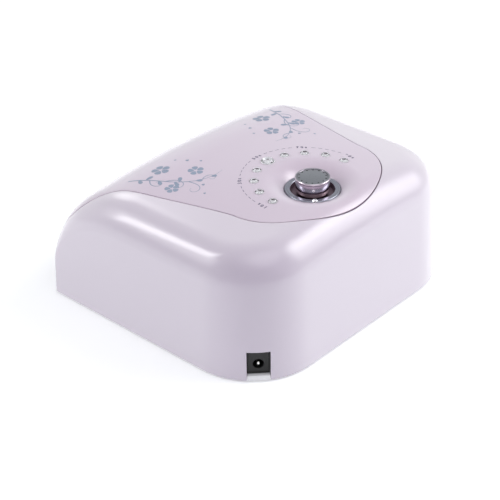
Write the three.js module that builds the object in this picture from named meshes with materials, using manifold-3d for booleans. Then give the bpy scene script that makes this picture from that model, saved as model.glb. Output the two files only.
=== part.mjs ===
// LED nail lamp: a glossy moulded housing with a hand tunnel in front, a flush top panel with
// a dished time dial, a turning and pressing knob, and a reflector lined with small lamps.
// Millimetres, +Z up, +Y to the rear, the hand opening faces -Y, origin on the table below
// the middle of the housing.

import * as THREE from 'three';
import { mergeVertices } from 'three/addons/utils/BufferGeometryUtils.js';
import Module from 'manifold-3d';

const wasm = await Module();
wasm.setup();

// Housing: overall form
const bodyWidth = 190;
const bodyDepth = 166;
const topHeight = 78;
const rimHeight = 1.5;
const wall = 2.6;
const frontCurveDepth = 56;
const frontCurveHeight = 41;
const rearCornerRadius = 43;
const edgeRadius = 22;
const draftDegrees = 3;
const crossCrown = 4.2;
const lengthCrown = 1;

// Clearances
const seat = 0.3;
const running = 0.4;
const slip = 0.2;
const overrun = 4;
const probe = 0.02;
const weld = 1e-4;

// Top panel: outline, thickness and the ledge that carries it
const panelThickness = 2;
const panelRearMargin = 11;
const panelWaistMargin = 39.5;
const panelWaistDepth = 53;
const panelShoulderMargin = 24;
const panelShoulderDepth = 45;
const panelCornerMargin = 7.5;
const panelFrontMargin = 5;
const ledgeWidth = 5;
const ledgeRoot = 1.6;
const ledgeThickness = 2;
const flankShares = [[0.13, 0.2], [0.2, 0.26]];
const flareShares = [[0.12, 0.28], [0.06, 0.45]];

// Time dial: dish, pocket and the stones round it
const dialRearMargin = 43;
const dishDepth = 7.2;
const dishRadius = 30;
const dishFloorRadius = 17.6;
const pocketRadius = 13.8;
const pocketDepth = 4.4;
const stoneArcRadius = 31.8;
const stoneArcAdvance = 2.5;
const stoneRadius = 2.6;
const largeStoneRadius = 4;
const stoneSink = 0.5;
const stonePocketDepth = 0.7;
const stoneCount = 9;
const stoneStepDegrees = 22.5;
const stoneFootShare = 0.86;
const stoneCrownShares = [[1, 0.1], [0.8, 0.36], [0.42, 0.52], [0, 0.52]];

// Selector ring, knob and rotary switch
const ringOuterRadius = 16.3;
const ringInnerRadius = 12.9;
const ringWallRadius = 13.3;
const ringThickness = 2;
const ringWeb = 1.2;
const ringHubRadius = 5.5;
const ringHubHeight = 2.8;
const ringBevel = 0.7;
const bevelShare = 0.3;
const pointerRadius = 1.5;
const pointerCircleRadius = 14.9;
const pointerDegrees = 45;
const pointerSink = 0.6;
const knobRadius = 10.2;
const knobRise = 7.6;
const knobTravel = 0.8;
const knobBevel = 0.9;
const knobFaceRadius = 8.9;
const knobFaceThickness = 0.6;
const knobSocketRoof = 2;
const shaftRadius = 3;
const shaftFlat = 2.2;
const stemRadius = 1.2;
const bushRadius = 4.5;
const nutAcrossFlats = 11;
const nutThickness = 1.6;
const switchWidth = 14;
const switchHeight = 9;
const switchBase = 2;
const switchTagLength = 3;
const switchTagWidth = 1.6;
const switchTagThickness = 0.6;

// Base plate, feet and screws
const baseThickness = 3;
const footRadius = 6;
const footSink = 0.8;
const footInset = 23;
const footFaceShare = 0.86;
const footEdgeShare = 0.4;
const bossRadius = 4.2;
const bossHeight = 18;
const bossWallGap = 6.2;
const frontBossDepth = 17;
const rearBossSpacing = 76;
const screwRadius = 1.3;
const screwHeadRadius = 3;
const screwHeadHeight = 1.4;
const screwLength = 12;
const screwFaceShare = 0.8;
const screwEdgeShare = 0.4;

// Reflector tunnel and its lamps
const cheekWidth = 19;
const rearRoom = 48;
const roofRoom = 32.5;
const tunnelCornerRadius = 22;
const tunnelRearRadius = 30;
const reflectorWall = 1.8;
const ledRadius = 2.5;
const ledBarrel = 2;
const ledTipShare = 0.8;
const ledDomeShares = [[0.87, 0.5], [0.5, 0.87], [0, 1]];
const sideLedShare = 0.32;
const boardThickness = 1.6;
const boardMargin = 12;
const roofBoardSideGap = 30;
const roofBoardFrontGap = 45;
const roofBoardRearGap = 13;
const sideBoardFrontGap = 22;
const sideBoardRearGap = 20;
const sideBoardHeight = 17;

// Control board and what it carries
const controlWidth = 60;
const controlDepth = 23;
const controlHeight = 10;
const controlRearGap = 13;
const standoffRadius = 2.6;
const boardScrewInset = 3.6;
const capacitorRadius = 4;
const capacitorHeight = 12;
const capacitorShares = [
  [0, 0], [1, 0], [1, 0.1], [0.92, 0.15], [1, 0.2], [1, 0.95], [0.85, 1], [0, 1],
];
const chipWidth = 6;
const chipLength = 10;
const chipHeight = 1.8;
const chipLegReach = 1.2;
const chipLegWidth = 0.5;
const chipStandShare = 0.15;
const chipLegShare = 0.3;
const chipPitchShares = [-0.375, -0.125, 0.125, 0.375];
const coilRadius = 5.5;
const coilHeight = 5;
const coilShares = [[0, 0], [1, 0], [1, 0.2], [0.8, 0.3], [0.8, 0.7], [1, 0.8], [1, 1], [0, 1]];
const plugWidth = 8;
const plugDepth = 6;
const plugHeight = 7;
const plugWall = 1;
const capacitorPlaceShare = 0.25;
const coilPlaceShare = 0.2;
const connectorPlaceShare = 0.36;
const leadPlaceShare = 0.2;

// Power inlet
const jackAngleDegrees = 46;
const jackFaceWidth = 12.8;
const jackFaceHeight = 14.6;
const jackFaceThickness = 1.6;
const jackRecess = 2.4;
const jackBodyWidth = 10;
const jackBodyLength = 10;
const jackBodyHeight = 11;
const jackHoleRadius = 3;
const jackHoleRise = 6;
const jackHoleDepth = 9;
const jackPinRadius = 1;
const jackPinSetback = 0.8;
const leadRadius = 1.1;
const leadBend = 7;

// Facet counts
const curveSteps = 7;
const sideSteps = 2;
const cornerSteps = 7;
const rearSteps = 3;
const filletSteps = 5;
const topSteps = 3;
const flatSteps = 2;
const curveRings = 5;
const edgePasses = 4;
const dishShares = [0, 0.25, 0.5, 0.75, 1];
const recessShare = 0.5;
const boreShares = [0, 0.5, 0.8, 1];
const outlineRearSteps = 8;
const outlineSideSteps = 3;
const outlineFrontSteps = 5;
const outlineLipSteps = 3;
const archSteps = 7;
const plateSteps = 10;
const tinySteps = 3;
const smallSegments = 10;
const roundSegments = 16;
const fineSegments = 32;

// Derived places
const halfWidth = bodyWidth / 2;
const frontY = -bodyDepth / 2;
const rearY = bodyDepth / 2;
const draftAngle = THREE.MathUtils.degToRad(draftDegrees);
const draft = Math.tan(draftAngle);
const curveEndY = frontY + frontCurveDepth;
const curveBaseZ = topHeight - frontCurveHeight;
const cornerX = halfWidth - rearCornerRadius;
const cornerY = rearY - rearCornerRadius;
const crownSlope = Math.atan((2 * crossCrown) / (halfWidth - edgeRadius));
const edgeRun = draft * (topHeight - edgeRadius - rimHeight)
  + edgeRadius * (1 / Math.cos(draftAngle) - Math.sin(crownSlope));
const crownHalfWidth = halfWidth - edgeRun;
const crownMidY = (curveEndY + rearY - edgeRun) / 2;
const crownHalfLength = (rearY - edgeRun - curveEndY) / 2;
const knobY = rearY - dialRearMargin;
const baseTopZ = rimHeight + baseThickness;
const tunnelHalfWidth = halfWidth - cheekWidth;
const tunnelRearY = rearY - rearRoom;
const roofZ = topHeight - roofRoom;
const tunnelHeight = roofZ - baseTopZ;

// Materials, one per finish
const finish = (color, roughness, metalness = 0) => ({ color, roughness, metalness });
const pearl = finish(0xdccddc, 0.2);
const panelPearl = finish(0xdaccda, 0.15);
const chrome = finish(0x9a9ca4, 0.25, 1);
const brushed = finish(0x77848f, 0.4, 1);
const crystal = finish(0xf2f2f6, 0.05);
const whitePlastic = finish(0xe9e9ec, 0.4);
const mirrorWhite = finish(0xf0f0f2, 0.15, 0.6);
const blackPlastic = finish(0x1b1b1d, 0.5);
const rubber = finish(0x2b2b2d, 0.85);
const steel = finish(0xb4b4b6, 0.35, 1);
const boardGreen = finish(0x2f6b45, 0.5);
const boardWhite = finish(0xf1f1ee, 0.45);
const lampLens = finish(0xd9d4ee, 0.1);
const redCopper = finish(0xb06a3c, 0.4, 0.8);
const leadRed = finish(0xa52a2a, 0.6);
const leadWhite = finish(0xd8d8d8, 0.6);

const group = new THREE.Group();

// A named mesh, added to the group
function add(name, geometry, look, parent = group) {
  const mesh = new THREE.Mesh(geometry, new THREE.MeshStandardMaterial(look));
  mesh.name = name;
  parent.add(mesh);
  return mesh;
}

// Position-only geometry with shared corners, no flat-out triangles, faces pointing outwards
function tidy(geometry) {
  const bare = geometry.clone();
  bare.deleteAttribute('normal');
  bare.deleteAttribute('uv');
  const merged = mergeVertices(bare, weld);
  const kept = keepRealTriangles(merged.index.array);
  if (signedVolume(kept, merged.attributes.position) < 0) kept.reverse();
  merged.setIndex(kept);
  return merged;
}

function keepRealTriangles(index) {
  const kept = [];
  for (let i = 0; i < index.length; i += 3) {
    const [a, b, c] = [index[i], index[i + 1], index[i + 2]];
    if (a !== b && b !== c && c !== a) kept.push(a, b, c);
  }
  return kept;
}

function signedVolume(index, position) {
  const [a, b, c] = [new THREE.Vector3(), new THREE.Vector3(), new THREE.Vector3()];
  let sum = 0;
  for (let i = 0; i < index.length; i += 3) {
    a.fromBufferAttribute(position, index[i]);
    b.fromBufferAttribute(position, index[i + 1]);
    c.fromBufferAttribute(position, index[i + 2]);
    sum += a.dot(b.cross(c));
  }
  return sum;
}

// Geometry to boolean solid and back
function solid(geometry) {
  const clean = tidy(geometry);
  const vertProperties = new Float32Array(clean.attributes.position.array);
  const triVerts = new Uint32Array(clean.index.array);
  return new wasm.Manifold(new wasm.Mesh({ numProp: 3, vertProperties, triVerts }));
}

function shapeOf(manifold) {
  const mesh = manifold.getMesh();
  const geometry = new THREE.BufferGeometry();
  geometry.setAttribute('position', new THREE.BufferAttribute(mesh.vertProperties, mesh.numProp));
  geometry.setIndex(new THREE.BufferAttribute(mesh.triVerts, 1));
  return geometry;
}

const joined = (...solids) => solids.reduce((sum, next) => sum.add(next));
const cutBy = (body, ...cutters) => cutters.reduce((left, next) => left.subtract(next), body);

// Basic forms standing along Z
function block(x0, x1, y0, y1, z0, z1) {
  const box = new THREE.BoxGeometry(x1 - x0, y1 - y0, z1 - z0);
  return box.translate((x0 + x1) / 2, (y0 + y1) / 2, (z0 + z1) / 2);
}

function rod(x, y, z0, z1, radius, segments = roundSegments) {
  const cylinder = new THREE.CylinderGeometry(radius, radius, z1 - z0, segments);
  return cylinder.rotateX(Math.PI / 2).translate(x, y, (z0 + z1) / 2);
}

function turned(profile, segments = roundSegments) {
  const points = profile.map(([r, z]) => new THREE.Vector2(r, z));
  return tidy(new THREE.LatheGeometry(points, segments).rotateX(Math.PI / 2));
}

function prism(shape, z0, z1, curveSegments = roundSegments / 4) {
  const options = { depth: z1 - z0, bevelEnabled: false, curveSegments };
  return new THREE.ExtrudeGeometry(shape, options).translate(0, 0, z0);
}

function roundedRectangle(x0, x1, y0, y1, radius) {
  const shape = new THREE.Shape();
  shape.moveTo(x0 + radius, y0);
  shape.lineTo(x1 - radius, y0);
  shape.absarc(x1 - radius, y0 + radius, radius, -Math.PI / 2, 0);
  shape.lineTo(x1, y1 - radius);
  shape.absarc(x1 - radius, y1 - radius, radius, 0, Math.PI / 2);
  shape.lineTo(x0 + radius, y1);
  shape.absarc(x0 + radius, y1 - radius, radius, Math.PI / 2, Math.PI);
  shape.lineTo(x0, y0 + radius);
  shape.absarc(x0 + radius, y0 + radius, radius, Math.PI, 1.5 * Math.PI);
  return shape;
}

// Height of the top: the elliptical front curve, the flat top and the crown over both
function topZ(x, y, inset = 0) {
  const reach = THREE.MathUtils.clamp((curveEndY - y) / (frontCurveDepth - inset), 0, 1);
  const lift = curveBaseZ + (frontCurveHeight - inset) * Math.sqrt(1 - reach * reach);
  return lift + crownHeight(y) * (1 - (x / crownHalfWidth) ** 2);
}

function crownHeight(y) {
  const along = THREE.MathUtils.clamp((y - crownMidY) / crownHalfLength, -1, 1);
  return crossCrown + lengthCrown * (1 - along * along) ** 2;
}

// The rounded edge between a drafted wall and the top, in the upright plane through a rim
// point: its centre, as a run inwards from the rim and a height, its top slope and its far end.
// Each pass moves that end nearer to where arc and top meet without a step
function edgeRound(rim, out, inset = 0) {
  const heightAt = (run) => topZ(rim.x - out.x * run, rim.y - out.y * run, inset) + inset;
  let edge = { endRun: edgeRun };
  for (let pass = 0; pass < edgePasses; pass++) {
    const rise = heightAt(edge.endRun + probe) - heightAt(edge.endRun - probe);
    const slope = Math.atan(rise / (2 * probe));
    const centreZ = heightAt(edge.endRun) - edgeRadius * Math.cos(slope);
    const centreRun = draft * (centreZ - rimHeight) + edgeRadius / Math.cos(draftAngle);
    edge = { slope, centreZ, centreRun, endRun: centreRun - edgeRadius * Math.sin(slope) };
  }
  return edge;
}

// One row of the housing's skin, from the bottom up the wall, round the edge and over the
// top to its spine, with the whole skin moved inwards by inset
function skinRow(rim, out, spine, inset, bottomZ) {
  const edge = edgeRound(rim, out, inset);
  const at = (run, z) => new THREE.Vector3(rim.x - out.x * run, rim.y - out.y * run, z);
  const row = [at(inset / Math.cos(draftAngle) + draft * (bottomZ - rimHeight), bottomZ)];
  const sweep = Math.PI / 2 - edge.slope - draftAngle;
  for (let k = 0; k <= filletSteps; k++) {
    const angle = draftAngle + (sweep * k) / filletSteps;
    const radius = edgeRadius - inset;
    const run = edge.centreRun - radius * Math.cos(angle);
    row.push(at(run, edge.centreZ + radius * Math.sin(angle)));
  }
  const last = row[row.length - 1];
  for (let k = 1; k <= topSteps; k++) {
    const x = THREE.MathUtils.lerp(last.x, spine.x, k / topSteps);
    const y = THREE.MathUtils.lerp(last.y, spine.y, k / topSteps);
    row.push(new THREE.Vector3(x, y, topZ(x, y, inset)));
  }
  return row;
}

// Rim stations of the right half, from the front corner round to the middle of the rear
function stations(inset) {
  const list = [];
  const put = (x, y, outX, outY, spineY) => list.push({
    rim: new THREE.Vector2(x, y),
    out: new THREE.Vector2(outX, outY),
    spine: new THREE.Vector2(0, spineY),
  });
  for (let k = 0; k <= curveSteps; k++) {
    const angle = (Math.PI / 2) * (k / curveSteps);
    const y = curveEndY - (frontCurveDepth - inset) * Math.cos(angle);
    put(halfWidth, y, 1, 0, y);
  }
  for (let k = 1; k <= sideSteps; k++) {
    const y = THREE.MathUtils.lerp(curveEndY, cornerY, k / sideSteps);
    put(halfWidth, y, 1, 0, y);
  }
  for (let k = 1; k <= cornerSteps; k++) {
    const angle = (Math.PI / 2) * (k / cornerSteps);
    const [c, s] = [Math.cos(angle), Math.sin(angle)];
    put(cornerX + rearCornerRadius * c, cornerY + rearCornerRadius * s, c, s, cornerY);
  }
  for (let k = 1; k <= rearSteps; k++) {
    put(cornerX * (1 - k / rearSteps), rearY, 0, 1, cornerY);
  }
  return list;
}

// The housing's outer form moved inwards by inset, as one closed solid
function skin(inset, bottomZ = rimHeight) {
  const rows = stations(inset).map((s) => skinRow(s.rim, s.out, s.spine, inset, bottomZ));
  const triangles = [];
  for (let i = 0; i + 1 < rows.length; i++) stitch(triangles, rows[i], rows[i + 1]);
  const front = rows[0];
  const frontFoot = new THREE.Vector3(0, front[0].y, bottomZ);
  const frontMiddle = new THREE.Vector3(0, front[0].y, (bottomZ + curveBaseZ) / 2);
  fan(triangles, frontMiddle, [frontFoot, ...front]);
  const rim = [frontFoot, ...rows.map((row) => row[0])];
  fan(triangles, new THREE.Vector3(0, 0, bottomZ), rim.reverse());
  return solid(mirroredPair(triangles));
}

function stitch(triangles, rowA, rowB) {
  for (let j = 0; j + 1 < rowA.length; j++) {
    triangles.push(rowA[j], rowB[j], rowB[j + 1]);
    triangles.push(rowA[j], rowB[j + 1], rowA[j + 1]);
  }
}

function fan(triangles, centre, loop) {
  for (let i = 0; i + 1 < loop.length; i++) triangles.push(centre, loop[i], loop[i + 1]);
}

// Triangles of the right half with their mirror images across the middle plane
function mirroredPair(triangles) {
  const flip = (p) => new THREE.Vector3(-p.x, p.y, p.z);
  const other = triangles.map(flip).reverse();
  return new THREE.BufferGeometry().setFromPoints([...triangles, ...other]);
}

// Height of the outer surface above any point of the plan, rounded edges included
function surfaceZ(x, y) {
  const side = Math.abs(x);
  const { rim, out, run } = nearestRim(side, y);
  const edge = edgeRound(rim, out);
  if (run >= edge.endRun) return topZ(side, y);
  const across = Math.min(1, (edge.centreRun - run) / edgeRadius);
  return edge.centreZ + edgeRadius * Math.sqrt(1 - across * across);
}

function nearestRim(x, y) {
  if (y <= cornerY) return { ...rimAt(halfWidth, y, 1, 0), run: halfWidth - x };
  if (x <= cornerX) return { ...rimAt(x, rearY, 0, 1), run: rearY - y };
  const away = new THREE.Vector2(x - cornerX, y - cornerY);
  const distance = away.length();
  const out = away.normalize();
  const rimX = cornerX + out.x * rearCornerRadius;
  const rimY = cornerY + out.y * rearCornerRadius;
  return { ...rimAt(rimX, rimY, out.x, out.y), run: rearCornerRadius - distance };
}

function rimAt(x, y, outX, outY) {
  return { rim: new THREE.Vector2(x, y), out: new THREE.Vector2(outX, outY) };
}

// Dish round the knob: flat floor, then an easy rise to the panel's own surface
const dishFloorZ = topZ(0, knobY) - dishDepth;

function panelZ(x, y) {
  const open = surfaceZ(x, y);
  const radius = Math.hypot(x, y - knobY);
  const rise = THREE.MathUtils.smoothstep(radius, dishFloorRadius, dishRadius);
  return THREE.MathUtils.lerp(dishFloorZ, open, rise);
}

// A point below a surface, measured square to it
function below(surface, x, y, depth) {
  const slopeX = (surface(x + probe, y) - surface(x - probe, y)) / (2 * probe);
  const slopeY = (surface(x, y + probe) - surface(x, y - probe)) / (2 * probe);
  const normal = new THREE.Vector3(-slopeX, -slopeY, 1).normalize();
  return new THREE.Vector3(x, y, surface(x, y)).addScaledVector(normal, -depth);
}

// Panel outline in plan, clockwise from the rear middle, grown outwards by grow
function panelOutline(grow = 0) {
  const [waistX, waistY] = [halfWidth - panelWaistMargin, rearY - panelWaistDepth];
  const [shoulderX, shoulderY] = [halfWidth - panelShoulderMargin, frontY + panelShoulderDepth];
  const [cornerAtX, cornerAtY] = [halfWidth - panelCornerMargin, frontY + panelFrontMargin];
  const flank = shoulderX - waistX;
  const flare = cornerAtX - shoulderX;
  const [sideLength, frontLength] = [waistY - shoulderY, shoulderY - cornerAtY];
  const rearReach = rearY - panelRearMargin - waistY;
  const corner = new THREE.Vector2(cornerAtX, cornerAtY);
  const rear = new THREE.EllipseCurve(0, waistY, waistX, rearReach, Math.PI / 2, 0, true);
  const waist = new THREE.Vector2(waistX, waistY);
  const shoulder = new THREE.Vector2(shoulderX, shoulderY);
  const side = bowed(waist, shoulder, flank, sideLength, flankShares);
  const front = bowed(shoulder, corner, flare, frontLength, flareShares);
  const lip = new THREE.LineCurve(corner, new THREE.Vector2(0, cornerAtY));
  const half = [
    ...rear.getPoints(outlineRearSteps),
    ...side.getPoints(outlineSideSteps).slice(1),
    ...front.getPoints(outlineFrontSteps).slice(1),
    ...lip.getPoints(outlineLipSteps).slice(1),
  ];
  const mirrored = half.slice(1, -1).reverse().map((p) => new THREE.Vector2(-p.x, p.y));
  return grown([...half, ...mirrored], grow);
}

// A curve from start to end whose two handles reach out by shares of its width and length
function bowed(start, end, width, length, [startShare, endShare]) {
  const startHandle = new THREE.Vector2(startShare[0] * width, -startShare[1] * length);
  const endHandle = new THREE.Vector2(-endShare[0] * width, endShare[1] * length);
  return new THREE.CubicBezierCurve(start, startHandle.add(start), endHandle.add(end), end);
}

// A clockwise loop moved outwards by grow, with mitred corners
function grown(loop, grow) {
  const left = (a, b) => new THREE.Vector2(a.y - b.y, b.x - a.x).normalize();
  return loop.map((point, i) => {
    const before = left(loop.at(i - 1), point);
    const after = left(point, loop[(i + 1) % loop.length]);
    const reach = grow / (1 + before.dot(after));
    return point.clone().addScaledVector(before.add(after), reach);
  });
}

// A closed sheet under a surface: rings of plan points from inside to outside, between two
// depths. A first ring gathered in one point closes the middle
function sheet(surface, rings, topDepth, bottomDepth) {
  const upper = rings.map((ring) => ring.map((p) => below(surface, p.x, p.y, topDepth)));
  const lower = rings.map((ring) => ring.map((p) => below(surface, p.x, p.y, bottomDepth)));
  const triangles = [];
  const count = rings[0].length;
  for (let j = 0; j + 1 < rings.length; j++) {
    for (let i = 0; i < count; i++) {
      const n = (i + 1) % count;
      quad(triangles, upper[j][i], upper[j][n], upper[j + 1][n], upper[j + 1][i]);
      quad(triangles, lower[j][i], lower[j + 1][i], lower[j + 1][n], lower[j][n]);
    }
  }
  const end = rings.length - 1;
  for (let i = 0; i < count; i++) {
    const n = (i + 1) % count;
    quad(triangles, upper[end][i], upper[end][n], lower[end][n], lower[end][i]);
    quad(triangles, upper[0][n], upper[0][i], lower[0][i], lower[0][n]);
  }
  return new THREE.BufferGeometry().setFromPoints(triangles);
}

function quad(triangles, a, b, c, d) {
  triangles.push(a, b, c, a, c, d);
}

// Rings of the panel from one share of the dish's rise outwards: round ones in the dish, then
// ones that spread to the outline
function panelRings(firstShare, grow = 0) {
  const outline = panelOutline(grow);
  const centre = new THREE.Vector2(0, knobY);
  const rings = dishShares.filter((share) => share >= firstShare).map((share) => {
    const radius = THREE.MathUtils.lerp(dishFloorRadius, dishRadius, share);
    return outline.map((p) => towards(centre, p, radius));
  });
  for (let k = 1; k <= flatSteps + curveRings; k++) {
    rings.push(outline.map((p) => spread(towards(centre, p, dishRadius), p, k)));
  }
  return rings;
}

// Step k of the way from the dish to the outline. A way that runs down the front curve takes
// its last steps at even angles of the curve
function spread(start, end, k) {
  if (end.y >= curveEndY) return start.lerp(end, k / (flatSteps + curveRings));
  const flatShare = (curveEndY - start.y) / (end.y - start.y);
  if (k <= flatSteps) return start.lerp(end, flatShare * (k / flatSteps));
  const endAngle = Math.asin((curveEndY - end.y) / frontCurveDepth);
  const y = curveEndY - frontCurveDepth * Math.sin(endAngle * ((k - flatSteps) / curveRings));
  return start.clone().lerp(end, (y - start.y) / (end.y - start.y));
}

function towards(centre, point, distance) {
  return point.clone().sub(centre).setLength(distance).add(centre);
}

// Housing: the shell, the recess and ledge for the panel, screw bosses and its openings
function housing() {
  const shell = cutBy(skin(0), skin(wall, rimHeight - overrun));
  const ledgeTop = panelThickness + seat;
  const ledge = sheet(panelZ, [panelOutline(-ledgeWidth), panelOutline(), panelOutline(ledgeRoot)],
    wall / 2, ledgeTop + ledgeThickness);
  const recess = sheet(panelZ, panelRings(recessShare, seat), -overrun, ledgeTop);
  const centre = new THREE.Vector2(0, knobY);
  const bore = panelOutline(-ledgeWidth);
  const boreRings = boreShares.map((share) => bore.map((p) => centre.clone().lerp(p, share)));
  const clear = sheet(surfaceZ, boreRings, -overrun, ledgeTop + ledgeThickness + overrun);
  const bosses = bossPlaces().map(({ x, y, towardX, towardY }) => boss(x, y, towardX, towardY));
  const body = joined(shell, solid(ledge).intersect(skin(wall / 2)), ...bosses);
  return cutBy(body, solid(recess), solid(clear), handOpening(), jackNotch(), ...bossBores());
}

function bossPlaces() {
  const sideX = halfWidth - wall - bossWallGap;
  const frontBossY = frontY + frontBossDepth;
  const rearBossX = rearBossSpacing / 2;
  const rearBossY = rearY - wall - bossWallGap;
  return [
    { x: sideX, y: frontBossY, towardX: 1, towardY: 0 },
    { x: -sideX, y: frontBossY, towardX: -1, towardY: 0 },
    { x: rearBossX, y: rearBossY, towardX: 0, towardY: 1 },
    { x: -rearBossX, y: rearBossY, towardX: 0, towardY: 1 },
  ];
}

// A screw boss with the rib that ties it to the nearest wall
function boss(x, y, towardX, towardY) {
  const z0 = baseTopZ + seat;
  const z1 = z0 + bossHeight;
  const reach = bossWallGap + wall / 2 - draft * bossHeight;
  const half = wall / 2;
  const [x1, y1] = [x + towardX * reach, y + towardY * reach];
  const [halfX, halfY] = [half * Math.abs(towardY), half * Math.abs(towardX)];
  const rib = block(Math.min(x, x1) - halfX, Math.max(x, x1) + halfX,
    Math.min(y, y1) - halfY, Math.max(y, y1) + halfY, z0, z1);
  return joined(solid(rod(x, y, z0, z1, bossRadius)), solid(rib));
}

const bossBores = () => bossPlaces().map(({ x, y }) => (
  solid(rod(x, y, rimHeight, rimHeight + screwLength + slip, screwRadius + slip, smallSegments))));

// Arch of the hand tunnel as a solid bar from y0 to y1, moved outwards by grow
function arch(grow, y0, y1, bottomZ) {
  const half = tunnelHalfWidth + grow;
  const top = roofZ + grow;
  const radius = tunnelCornerRadius + grow;
  const shape = new THREE.Shape();
  shape.moveTo(-half, bottomZ);
  shape.lineTo(half, bottomZ);
  shape.lineTo(half, top - radius);
  shape.absarc(half - radius, top - radius, radius, 0, Math.PI / 2);
  shape.lineTo(-half + radius, top);
  shape.absarc(-half + radius, top - radius, radius, Math.PI / 2, Math.PI);
  const options = { depth: y1 - y0, bevelEnabled: false, curveSegments: archSteps };
  return new THREE.ExtrudeGeometry(shape, options).rotateX(Math.PI / 2).translate(0, y1, 0);
}

const handOpening = () => solid(arch(0, frontY - overrun, frontY + wall + overrun, rimHeight - overrun));

// Power inlet's own frame: +X points out of the rear right corner
const jackFrame = new THREE.Matrix4()
  .makeRotationZ(THREE.MathUtils.degToRad(jackAngleDegrees))
  .setPosition(cornerX, cornerY, 0);
const jackFaceX = rearCornerRadius - jackRecess;
const jackTopZ = baseTopZ + seat + jackFaceHeight;
const jackHoleZ = baseTopZ + seat + jackHoleRise;

function jackNotch() {
  const half = jackFaceWidth / 2 + seat;
  const outer = rearCornerRadius + overrun;
  const notch = block(jackFaceX - jackFaceThickness - overrun, outer, -half, half,
    rimHeight - overrun, jackTopZ + seat);
  return solid(notch.applyMatrix4(jackFrame));
}

// Top panel: the crowned sheet with its dish, the knob pocket and shallow seats for stones
function topPanel() {
  const centre = new THREE.Vector2(0, knobY);
  const rings = panelRings(0);
  rings.unshift(rings[0].map((p) => towards(centre, p, pocketRadius - running)));
  const sheetBody = solid(sheet(panelZ, rings, 0, panelThickness));
  const floorZ = dishFloorZ - pocketDepth;
  const cup = turned([
    [0, floorZ - panelThickness],
    [pocketRadius + panelThickness, floorZ - panelThickness],
    [pocketRadius + panelThickness, dishFloorZ - panelThickness / 2],
    [0, dishFloorZ - panelThickness / 2],
  ], fineSegments);
  const pocket = rod(0, knobY, floorZ, dishFloorZ + overrun, pocketRadius, fineSegments);
  const bushHole = rod(0, knobY, floorZ - panelThickness - overrun, floorZ + overrun, bushRadius + seat);
  const body = joined(sheetBody, solid(cup.translate(0, knobY, 0)));
  const seats = stonePlaces().map((s) => (
    solid(rod(s.x, s.y, s.z - stonePocketDepth, s.z + overrun, s.radius + slip, smallSegments))));
  return cutBy(body, solid(pocket), solid(bushHole), ...seats);
}

// A profile given in shares of a radius and a height
function scaled(shares, radius, height) {
  return shares.map(([r, z]) => [r * radius, z * height]);
}

// Stones: a half ring of crystals in front of the knob, the middle one larger
function stonePlaces() {
  const centreY = knobY - stoneArcAdvance;
  return Array.from({ length: stoneCount }, (_, i) => {
    const angle = -THREE.MathUtils.degToRad(i * stoneStepDegrees);
    const x = stoneArcRadius * Math.cos(angle);
    const y = centreY + stoneArcRadius * Math.sin(angle);
    const radius = i === (stoneCount - 1) / 2 ? largeStoneRadius : stoneRadius;
    return { x, y, radius, z: panelZ(x, y) };
  });
}

// Cut crystal on a flat back: girdle, crown facets and a small table
function crystalForm(radius, sink, facets = 8) {
  return turned([
    [0, -sink],
    [stoneFootShare * radius, -sink],
    ...scaled(stoneCrownShares, radius, radius),
  ], facets);
}

function addStones() {
  stonePlaces().forEach(({ x, y, z, radius }, i) => {
    add(`stone_${i + 1}`, crystalForm(radius, stoneSink), crystal).position.set(x, y, z);
  });
}

// Selector: a chromed ring on a cup that turns with the switch's shaft
const ringBaseZ = dishFloorZ + running;
const ringTopZ = ringBaseZ + ringThickness;
const pocketFloorZ = dishFloorZ - pocketDepth;
const nutZ = pocketFloorZ + seat;
const bushTopZ = nutZ + nutThickness + slip;
const webZ = bushTopZ + running;
const webTopZ = webZ + ringWeb;
const hubTopZ = webZ + ringHubHeight;
const knobTopZ = ringTopZ + knobRise;
const knobBottomZ = webTopZ + knobTravel + seat;
const shaftTopZ = knobTopZ - knobFaceThickness - knobSocketRoof - knobTravel - seat;

function addSelector() {
  const dial = new THREE.Group();
  dial.position.set(0, knobY, 0);
  group.add(dial);
  const ring = turned([
    [shaftRadius + slip, webZ],
    [ringWallRadius, webZ],
    [ringWallRadius, ringBaseZ],
    [ringOuterRadius, ringBaseZ],
    [ringOuterRadius, ringTopZ - ringBevel],
    [ringOuterRadius - bevelShare * ringBevel, ringTopZ - bevelShare * ringBevel],
    [ringOuterRadius - ringBevel, ringTopZ],
    [ringInnerRadius, ringTopZ],
    [ringInnerRadius - ringBevel, webTopZ],
    [ringHubRadius, webTopZ],
    [ringHubRadius, hubTopZ],
    [shaftRadius + slip, hubTopZ],
    [shaftRadius + slip, webZ],
  ], fineSegments);
  const pointerAngle = THREE.MathUtils.degToRad(pointerDegrees);
  const pointerX = pointerCircleRadius * Math.cos(pointerAngle);
  const pointerY = pointerCircleRadius * Math.sin(pointerAngle);
  const pit = rod(pointerX, pointerY, ringTopZ - pointerSink - slip, ringTopZ + overrun,
    pointerRadius + slip, smallSegments);
  add('selector_ring', shapeOf(cutBy(solid(ring), solid(pit))), chrome, dial);
  add('pointer_stone', crystalForm(pointerRadius, pointerSink), crystal, dial)
    .position.set(pointerX, pointerY, ringTopZ);
  add('knob', shapeOf(knobBody()), chrome, dial);
  const face = turned([
    [0, knobTopZ - knobFaceThickness],
    [knobFaceRadius - slip, knobTopZ - knobFaceThickness],
    [knobFaceRadius - slip, knobTopZ - slip],
    [0, knobTopZ - slip],
  ], fineSegments);
  add('knob_face', face, brushed, dial);
  add('switch_shaft', shapeOf(shaftBody()), steel, dial);
  const stemTopZ = shaftTopZ + knobTravel;
  const stemBottomZ = switchFloorZ + knobTravel + seat;
  add('push_stem', rod(0, 0, stemBottomZ, stemTopZ, stemRadius, smallSegments), steel, dial);
  add('switch_nut', nut(), steel, dial);
  add('switch_body', shapeOf(switchBody()), blackPlastic, dial);
}

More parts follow.
